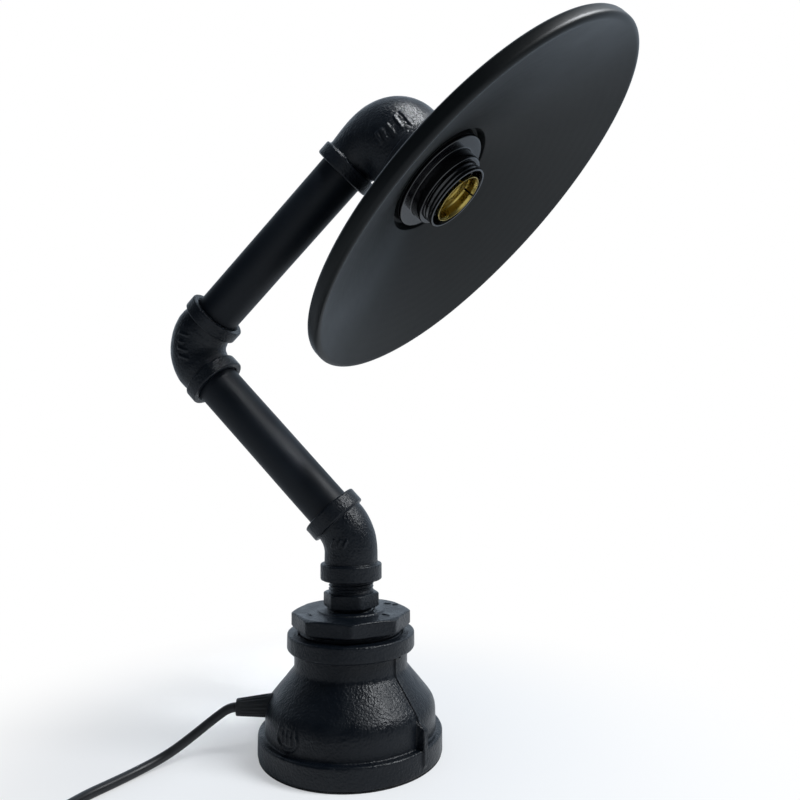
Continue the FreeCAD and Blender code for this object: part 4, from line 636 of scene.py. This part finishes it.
head_corner = np.array((24.7185, -29.4477, 357.3002))
head_side = np.array((0.1503996, 0.9855566, 0.0778346))
shade_way = np.array((0.6745927, -0.0447539, -0.7368322))
head_marks = [((25.0, -52.7, 341.7), (27.7, -52.8, 337.0)), ((28.0, -54.1, 343.0), (30.9, -54.1, 337.7)),
              ((31.3, -55.0, 345.0), (35.2, -55.3, 339.3)), ((34.9, -55.0, 349.2), (39.2, -55.7, 342.6)),
              ((38.5, -54.3, 352.1), (43.2, -55.1, 345.2))]
leg_radius, dome_radius, crotch = 15.7, 25.3, 2.0
leg_end, bend_end, head_total, mouth_band = 8.5, 48.5, 69.3, 58.1
dome_growth = dome_radius - leg_radius
band_radius, mouth_hole = 28.2 - dome_growth, 19.6 - dome_growth
head_frame = np.array([shade_way, head_side, upper_way])
dome_axes = np.array([np.cross(head_side, shade_way), head_side, shade_way])
along_shade = straight(head_corner, dome_axes)


def widened(length):
    """What the casting has grown by at that length: nothing in the leg, all of it at the dome's mouth."""
    share = np.clip((length - leg_end) / (bend_end - leg_end), 0, 1)
    return dome_growth * share * share * (3 - 2 * share)


def hinged(radius, length, angle):
    """Place of (radius, length, angle) round a centre line whose cross-sections turn about a pivot in
    the crotch, as the leaves of a book do, so that circles that grow still leave one smooth skin."""
    turn = np.clip((length - leg_end) / (bend_end - leg_end), 0, 1) * math.pi / 2
    outward = crotch + leg_radius + widened(length) - radius * np.cos(angle)
    toward = crotch + leg_radius - outward * np.cos(turn) + np.maximum(length - bend_end, 0)
    up = outward * np.sin(turn) - crotch - dome_radius + np.minimum(length - leg_end, 0)
    return head_corner + np.stack([toward, radius * np.sin(angle), up], -1) @ head_frame


def grown_shape(radius, length, angle):
    """The line is drawn at the leg's size, and grows with the casting."""
    return radius + widened(length), length


head = turned("head_elbow_piece", [
    (14.9, 0, 0.3), (17.8, 0, 1.2), (17.8, leg_end, 1.4), (leg_radius, leg_end, 1.0),
    (leg_radius, mouth_band, 1.2), (band_radius, mouth_band, 1.2), (band_radius, head_total, 1.2),
    (20.6 - dome_growth, head_total, 0.4), (mouth_hole, 68.1, 0.4), (mouth_hole, mouth_band, 0.4),
    (11.7, 57.1, 0.4), (11.7, 12.8, 0.4), (pipe_radius, 12.4, 0.2), (pipe_radius, 1.4, 0.3),
], hinged, 288, 0.6, shape=grown_shape, dress=marked_skin(81, head_marks))
fitted(head, "head", "casting", iron, "head_elbow")

# ---- Locking screw ----------------------------------------------------------------------------
# A zinc-plated grub screw with a hexagon socket, in the far side of the head elbow's mouth. Its tip
# presses on the skirt of the lampholder.

zinc = finish("zinc_plate", (0.42, 0.42, 0.44), (0.52, 0.52, 0.54), (0.28, 0.4), 0.5, 2,
              fine=(0.3, 0.01), metal=1.0)
screw_place = head_corner + shade_way * 32.9 + head_side * 19.55
screw_axes = np.array([shade_way, np.cross(head_side, shade_way), head_side])


def socket_shape(radius, height, angle):
    """Hexagon socket: the inner wall lies at the side of a 2 mm hexagon."""
    inside = (radius < 1.3) & (radius > 0.3) & (height > 6)
    return np.where(inside, many_sided(6, 1.0, 0, angle), radius), height


locking = turned("locking_screw_piece", [
    (0, 0), (1.2, 0, 0.1), (2.0, 0.9, 0.2), (2.0, 8.1, 0.3), (1.4, 8.6, 0.1), (1.1, 8.6, 0.1),
    (1.1, 6.6, 0.05), (0, 6.4),
], straight(screw_place, screw_axes), 48, 0.5, closed=False, shape=socket_shape)
fitted(locking, "head", "steel", zinc, "locking_screw")

# ---- Lampholder -------------------------------------------------------------------------------
# A black thermoset lampholder for a screw cap: a cap clamped to the cord, a threaded body, a ceramic
# insert with the contacts, and the brass screw shell that shows its gold inside.

gloss_black = finish("gloss_black", (0.0020, 0.0022, 0.0028), (0.0032, 0.0034, 0.0042),
                     (0.13, 0.17), 0.5, 9)
ceramic = finish("ceramic", (0.62, 0.60, 0.55), (0.72, 0.70, 0.65), (0.5, 0.6), 0.4, 4, fine=(0.4, 0.02))
brass = finish("rolled_brass", (0.33, 0.25, 0.06), (0.50, 0.38, 0.11), (0.22, 0.32), 0.5, 5,
               fine=(0.6, 0.012), metal=1.0)
brown_core = finish("core_insulation", (0.16, 0.07, 0.03), (0.21, 0.10, 0.05), (0.4, 0.5), 0.5, 2,
                    fine=(0.4, 0.01))


def holder_shape(radius, height, angle):
    """Rounded knuckle thread on the front of the body."""
    thread = screwed(radius, height, angle, 2.6, 0.95, 47.0, 62.6)
    return np.where((radius > 19.8) & (height > 46.6) & (radius < 20.5), thread, radius), height


holder = turned("lampholder_body", [
    (17.3, 26.2, 0.3), (19.5, 26.2, 0.3), (19.5, 38.5, 0.2), (23, 38.5, 0.6), (23, 46.5, 0.4),
    (20, 46.5, 0.2), (20, 62.1, 0.5), (19.7, 62.9, 0.25), (18.7, 62.9, 0.2), (18.0, 61.2, 0.6),
    (17.7, 56, 0.5), (15.8, 55, 0.4), (15.8, 42.4, 0.2), (17.3, 42.4, 0.2),
], along_shade, 160, 0.4, shape=holder_shape)
fitted(holder, "head", "holder", gloss_black, "holder_body")

# The shell's radius is its foot's, plus a shoulder, less a rolled thread, plus a plain front and a
# flared lip; three slots and the lip's last row are cut away.
shell_foot, shell_top, lip_foot = 40.3, 63.5, 61.6
shell_columns, shell_rows, shell_pitch, shell_slots = 180, 110, 3.6, 3
shell_angle = np.linspace(0, 2 * math.pi, shell_columns, endpoint=False)
shell_height = np.linspace(shell_foot, shell_top, shell_rows)[:, None]
shell_wave = 0.5 - 0.5 * np.cos(2 * math.pi * (shell_height / shell_pitch - shell_angle / (2 * math.pi)))
shoulder = near(np.minimum(shell_height - 44.5, 0), 0, 2.5)
front = np.clip((shell_height - 57.0) / 2.0, 0, 1)
lip = np.clip((shell_height - lip_foot) / (shell_top - lip_foot), 0, 1)
shell_radius = (13.6 + 0.7 * shoulder) - 0.55 * shell_wave * shoulder * (1 - front)
shell_radius = shell_radius + 0.1 * front + 0.7 * np.sin(0.5 * math.pi * lip) ** 1.5
shell = woven("brass_shell", along_shade(shell_radius, np.broadcast_to(shell_height, shell_radius.shape),
                                         np.broadcast_to(shell_angle, shell_radius.shape)), True)
row_of_face = np.repeat(np.arange(shell_rows), shell_columns)
from_slot = np.tile(np.arange(shell_columns) % (shell_columns // shell_slots), shell_rows)
cut_away = (row_of_face == shell_rows - 1) | ((from_slot < 2) & (row_of_face > shell_rows * 0.70))
sheet = bmesh.new()
sheet.from_mesh(shell.data)
sheet.faces.ensure_lookup_table()
bmesh.ops.delete(sheet, geom=[sheet.faces[k] for k in np.flatnonzero(cut_away)], context="FACES")
sheet.to_mesh(shell.data)
sheet.free()
wall = shell.modifiers.new("wall", "SOLIDIFY")
wall.thickness = 0.5 * mm
wall.offset = -1
fitted(shell, "head", "brass", brass, "screw_shell")

kept(gloss_black, "holder_cap")
kept(ceramic, "holder_insert")
kept(brass, "centre_contact", "side_contact", "terminal_blocks")
kept(zinc, "terminal_screws", "insert_screws")
kept(brown_core, "holder_cores")

# ---- Shade ------------------------------------------------------------------------------------
# A shallow cone spun from steel sheet, with a flat centre, a bead round it and a rolled rim, painted
# satin black on both sides. It lies on the lampholder's shoulder.

shade_paint = finish("satin_shade", (0.0050, 0.0060, 0.0064), (0.0068, 0.0080, 0.0082),
                     (0.34, 0.42), 0.14, 60, pebble=(6.0, 0.03), fine=(0.6, 0.014))
shade_seat, sheet_thickness, rim_radius = head_corner + shade_way * 46.5, 0.9, 115.9


def spun_skin(points, radius, height, angle):
    """Faint rings that the spinning roller leaves, a sine of the radius, and a slow wander of the sheet."""
    return 0.02 * np.sin(2 * math.pi * radius / 5.5) + 0.08 * waves(points, 120, 91)


shade = turned("shade_piece", [
    (20.2, 0, 0.2), (29.4, 0, 0.5), (30.1, -4.1, 0.6), (33.9, -4.1, 0.8), (35.4, 0.9, 1.0), (110.5, 25.8, 8),
    (rim_radius, 26.05, 3.0), (rim_radius, 35.3, 2.4), (34.5, 1.9, 0.5), (33.1, -3.2, 0.4), (31.0, -3.2, 0.4),
    (30.4, sheet_thickness, 0.3), (20.2, sheet_thickness, 0.2),
], straight(shade_seat, dome_axes), 360, 1.6, dress=spun_skin)
fitted(shade, "head", "shade", shade_paint, "shade")

# ---- Shade ring -------------------------------------------------------------------------------
# A glossy moulded ring screwed on the front thread of the lampholder. Its flange clamps the shade.

ring_hole, flange_radius, ring_radius, flange_top, ring_top = 20.05, 30.5, 22.7, 2.0, 9.4
ring = turned("shade_ring_piece", [
    (ring_hole, 0, 0.2), (flange_radius, 0, 0.5), (flange_radius, flange_top, 0.5),
    (ring_radius, flange_top, 0.8), (ring_radius, ring_top, 0.7), (ring_hole, ring_top, 0.3),
], straight(shade_seat + shade_way * sheet_thickness, dome_axes), 200, 0.7)
fitted(ring, "head", "ring", gloss_black, "shade_ring")

# ---- Strain relief ----------------------------------------------------------------------------
# A black moulded sleeve with fine flutes along it, seated on a spot face low on the base and held
# by a nut inside. The cord comes out of its tip.

grip_paint = finish("matte_grip", (0.010, 0.011, 0.012), (0.016, 0.017, 0.018), (0.55, 0.68), 0.35, 4,
                    fine=(0.5, 0.02))
relief_angle = math.radians(196)
relief_way = np.array((math.cos(relief_angle), math.sin(relief_angle), 0.0))
relief_axes = np.array([np.cross((0, 0, 1.0), relief_way), (0, 0, 1.0), relief_way])
relief_start, relief_face, relief_end, relief_z = 32.8, 44.75, 65.35, 26.6
cord_hole, flutes = 2.65, 18


def fluted(radius, height, angle):
    """Shallow flutes along the tapering sleeve, a cosine of the angle times their number, fading out
    at both its ends."""
    window = near(height - (relief_face + 10.6), 6.4, 8.2) * (radius > 3.6)
    return radius - 0.22 * window * (1 + np.cos(flutes * angle)), height


def softened(name, node, width, steps=2, shortest=3.0):
    """Copy of a CAD node with its loose triangles merged, and its sharp edges of at least that length
    rounded by that width."""
    data = nodes[node].data.copy()
    body = bmesh.new()
    body.from_mesh(data)
    bmesh.ops.remove_doubles(body, verts=body.verts, dist=1e-6)
    bmesh.ops.dissolve_limit(body, angle_limit=math.radians(1), verts=body.verts, edges=body.edges)
    share = body.edges.layers.float.new("bevel_weight_edge")
    for side in body.edges:
        sharp = len(side.link_faces) == 2 and side.calc_face_angle() > math.radians(20)
        side[share] = 1.0 if sharp and side.calc_length() >= shortest * mm else 0.0
    body.to_mesh(data)
    body.free()
    data.name = name
    data.shade_smooth()
    piece = bpy.data.objects.new(name, data)
    bpy.context.scene.collection.objects.link(piece)
    edge = piece.modifiers.new("edge", "BEVEL")
    edge.width = width * mm
    edge.segments = steps
    edge.limit_method = "WEIGHT"
    edge.use_clamp_overlap = False
    edge.harden_normals = True
    return piece


relief = turned("strain_relief_piece", [
    (cord_hole, relief_start, 0.2), (4.8, relief_start, 0.4), (4.8, relief_face, 0.1), (6.5, relief_face, 0.4),
    (6.3, relief_face + 2.6, 0.5), (4.6, relief_end, 0.9), (cord_hole, relief_end, 0.3),
], straight((0, 0, relief_z), relief_axes), 144, 0.6, shape=fluted)
relief_nut = softened("strain_relief_nut_piece", "strain_relief_nut", 0.4)
fitted(relief, "root", "grip", grip_paint, "strain_relief")
fitted(relief_nut, "root", "grip", grip_paint, "strain_relief_nut")

# ---- Mains cord -------------------------------------------------------------------------------
# A round two-core cord, black and smooth, 1.8 m long. It drops out of the strain relief to the
# table, runs to an in-line switch, and the rest is wound into a neat coil that ends in the plug.

cord_diameter = 5.2


def smooth_curve(name, route, diameter):
    """A round cord whose line is a quadratic NURBS spline with the route's points as its controls."""
    data = bpy.data.curves.new(name, "CURVE")
    data.dimensions = "3D"
    data.bevel_depth = diameter / 2 * mm
    data.bevel_resolution = 6
    data.resolution_u = 12
    data.use_fill_caps = True
    line = data.splines.new("NURBS")
    line.points.add(len(route) - 1)
    line.points.foreach_set("co", np.column_stack([np.array(route) * mm, np.ones(len(route))]).ravel())
    line.order_u = 3
    line.use_endpoint_u = True
    piece = bpy.data.objects.new(name, data)
    bpy.context.scene.collection.objects.link(piece)
    return piece


relief_tip = tuple(relief_way * relief_end + (0, 0, relief_z))
to_switch = [
    relief_tip, tuple(relief_way * (relief_end + 3.6) + (0, 0, relief_z)),
    (-72.3, -21.7, 22.6), (-78.4, -24.4, 17.9), (-85.0, -28.5, 12.9), (-91.7, -33.6, 8.2),
    (-98.5, -39.5, 4.7), (-105.2, -49.0, 2.9), (-111.6, -62.6, 2.6), (-117.9, -75.6, 2.6),
    (-123.5, -98.0, 2.6), (-127.0, -123.0, 2.6), (-126.0, -149.0, 2.6), (-119.5, -174.0, 2.6),
    (-107.5, -195.5, 3.4), (-90.0, -205.0, 7.0), (-77.0, -205.0, 7.0),
]
to_coil = [
    (-17.0, -205.0, 7.0), (-4.0, -205.0, 7.0), (16.0, -203.5, 3.4), (38.0, -199.5, 2.6), (56.0, -189.0, 2.6),
    (66.0, -170.0, 2.6), (64.0, -147.0, 2.6), (51.0, -126.5, 2.6), (29.0, -113.0, 3.2), (4.0, -105.2, 5.2),
    (-22.5, -101.9, 7.2),
]
to_plug = [(-39.0, -180.2, 4.4), (-31.0, -179.0, 6.85), (-24.0, -179.0, 6.85)]
coil_middle, coil_outer = (-62.0, -141.0), 39.4
coil_turns, coil_pitch, points_per_turn = 6.5, 5.2, 15
coil_top, coil_bottom, step_start, step_turns = 7.8, 2.6, 3.05, 0.4


def coil_points():
    """Turns wound inwards in the top layer and outwards in the bottom one, a diameter apart, from the
    back of the coil round to its front; the cord steps down between the layers in the innermost turn."""
    turn = np.linspace(0, coil_turns, int(coil_turns * points_per_turn) + 1)
    radius = coil_outer - coil_pitch * np.minimum(turn, coil_turns - turn)
    angle = math.pi / 2 + 2 * math.pi * turn
    height = coil_top + (coil_bottom - coil_top) * np.clip((turn - step_start) / step_turns, 0, 1)
    return np.column_stack([coil_middle[0] + radius * np.cos(angle),
                            coil_middle[1] + radius * np.sin(angle), height])


rubber = finish("cord_rubber", (0.009, 0.009, 0.010), (0.014, 0.014, 0.015), (0.34, 0.42), 0.42, 8,
                fine=(0.8, 0.01))
short_lead = smooth_curve("cord_to_switch_piece", to_switch, cord_diameter)
long_lead = smooth_curve("cord_with_coil", np.concatenate([to_coil, coil_points(), to_plug]), cord_diameter)
fitted(short_lead, "root", "cord", rubber, "cord_to_switch")
fitted(long_lead, "root", "cord", rubber, "cord_to_coil", "cord_coil", "cord_tail")
kept(rubber, "base_lead", "lower_lead", "upper_lead", "head_lead")

# ---- In-line switch ---------------------------------------------------------------------------
# A small rocker switch on the cord: two moulded half shells with a fine grain, held by two screws
# from below, and a polished rocker on a pin.

casing = finish("switch_shell", (0.011, 0.011, 0.012), (0.016, 0.016, 0.017), (0.46, 0.56), 0.4, 3,
                fine=(0.35, 0.02))
lower_shell = softened("switch_lower_piece", "switch_lower_shell", 1.3, 4)
upper_shell = softened("switch_upper_piece", "switch_upper_shell", 1.3, 4)
rocker = softened("switch_rocker_piece", "switch_rocker", 0.5, 3)
fitted(lower_shell, "root", "switch_shell", casing, "switch_lower_shell")
fitted(upper_shell, "root", "switch_shell", casing, "switch_upper_shell")
fitted(rocker, "rocker", "rocker", gloss_black, "switch_rocker")
kept(zinc, "switch_screws")
kept(brass, "switch_terminals", "switch_contact_blade")

# ---- Plug -------------------------------------------------------------------------------------
# A flat two-pin mains plug moulded on the end of the cord, with two plated pins. The switch's pieces are
# gathered in a list here, once they are all made.

plug_paint = finish("plug_body", (0.010, 0.010, 0.011), (0.015, 0.015, 0.016), (0.42, 0.52), 0.4, 3,
                    fine=(0.4, 0.015))
nickel = finish("nickel_plate", (0.60, 0.59, 0.56), (0.68, 0.67, 0.64), (0.22, 0.3), 0.5, 2,
                fine=(0.4, 0.01), metal=1.0)
plug = softened("plug_piece", "plug_body", 2.2, 5)
pins = softened("plug_pins_piece", "plug_pins", 0.45, 3, 0.0)
fitted(plug, "root", "plug", plug_paint, "plug_body")
fitted(pins, "root", "brass_plated", nickel, "plug_pins")

switch_pieces = [lower_shell, upper_shell, rocker]
switch_pieces += [nodes[name] for name in ("switch_screws", "switch_terminals", "switch_contact_blade")]
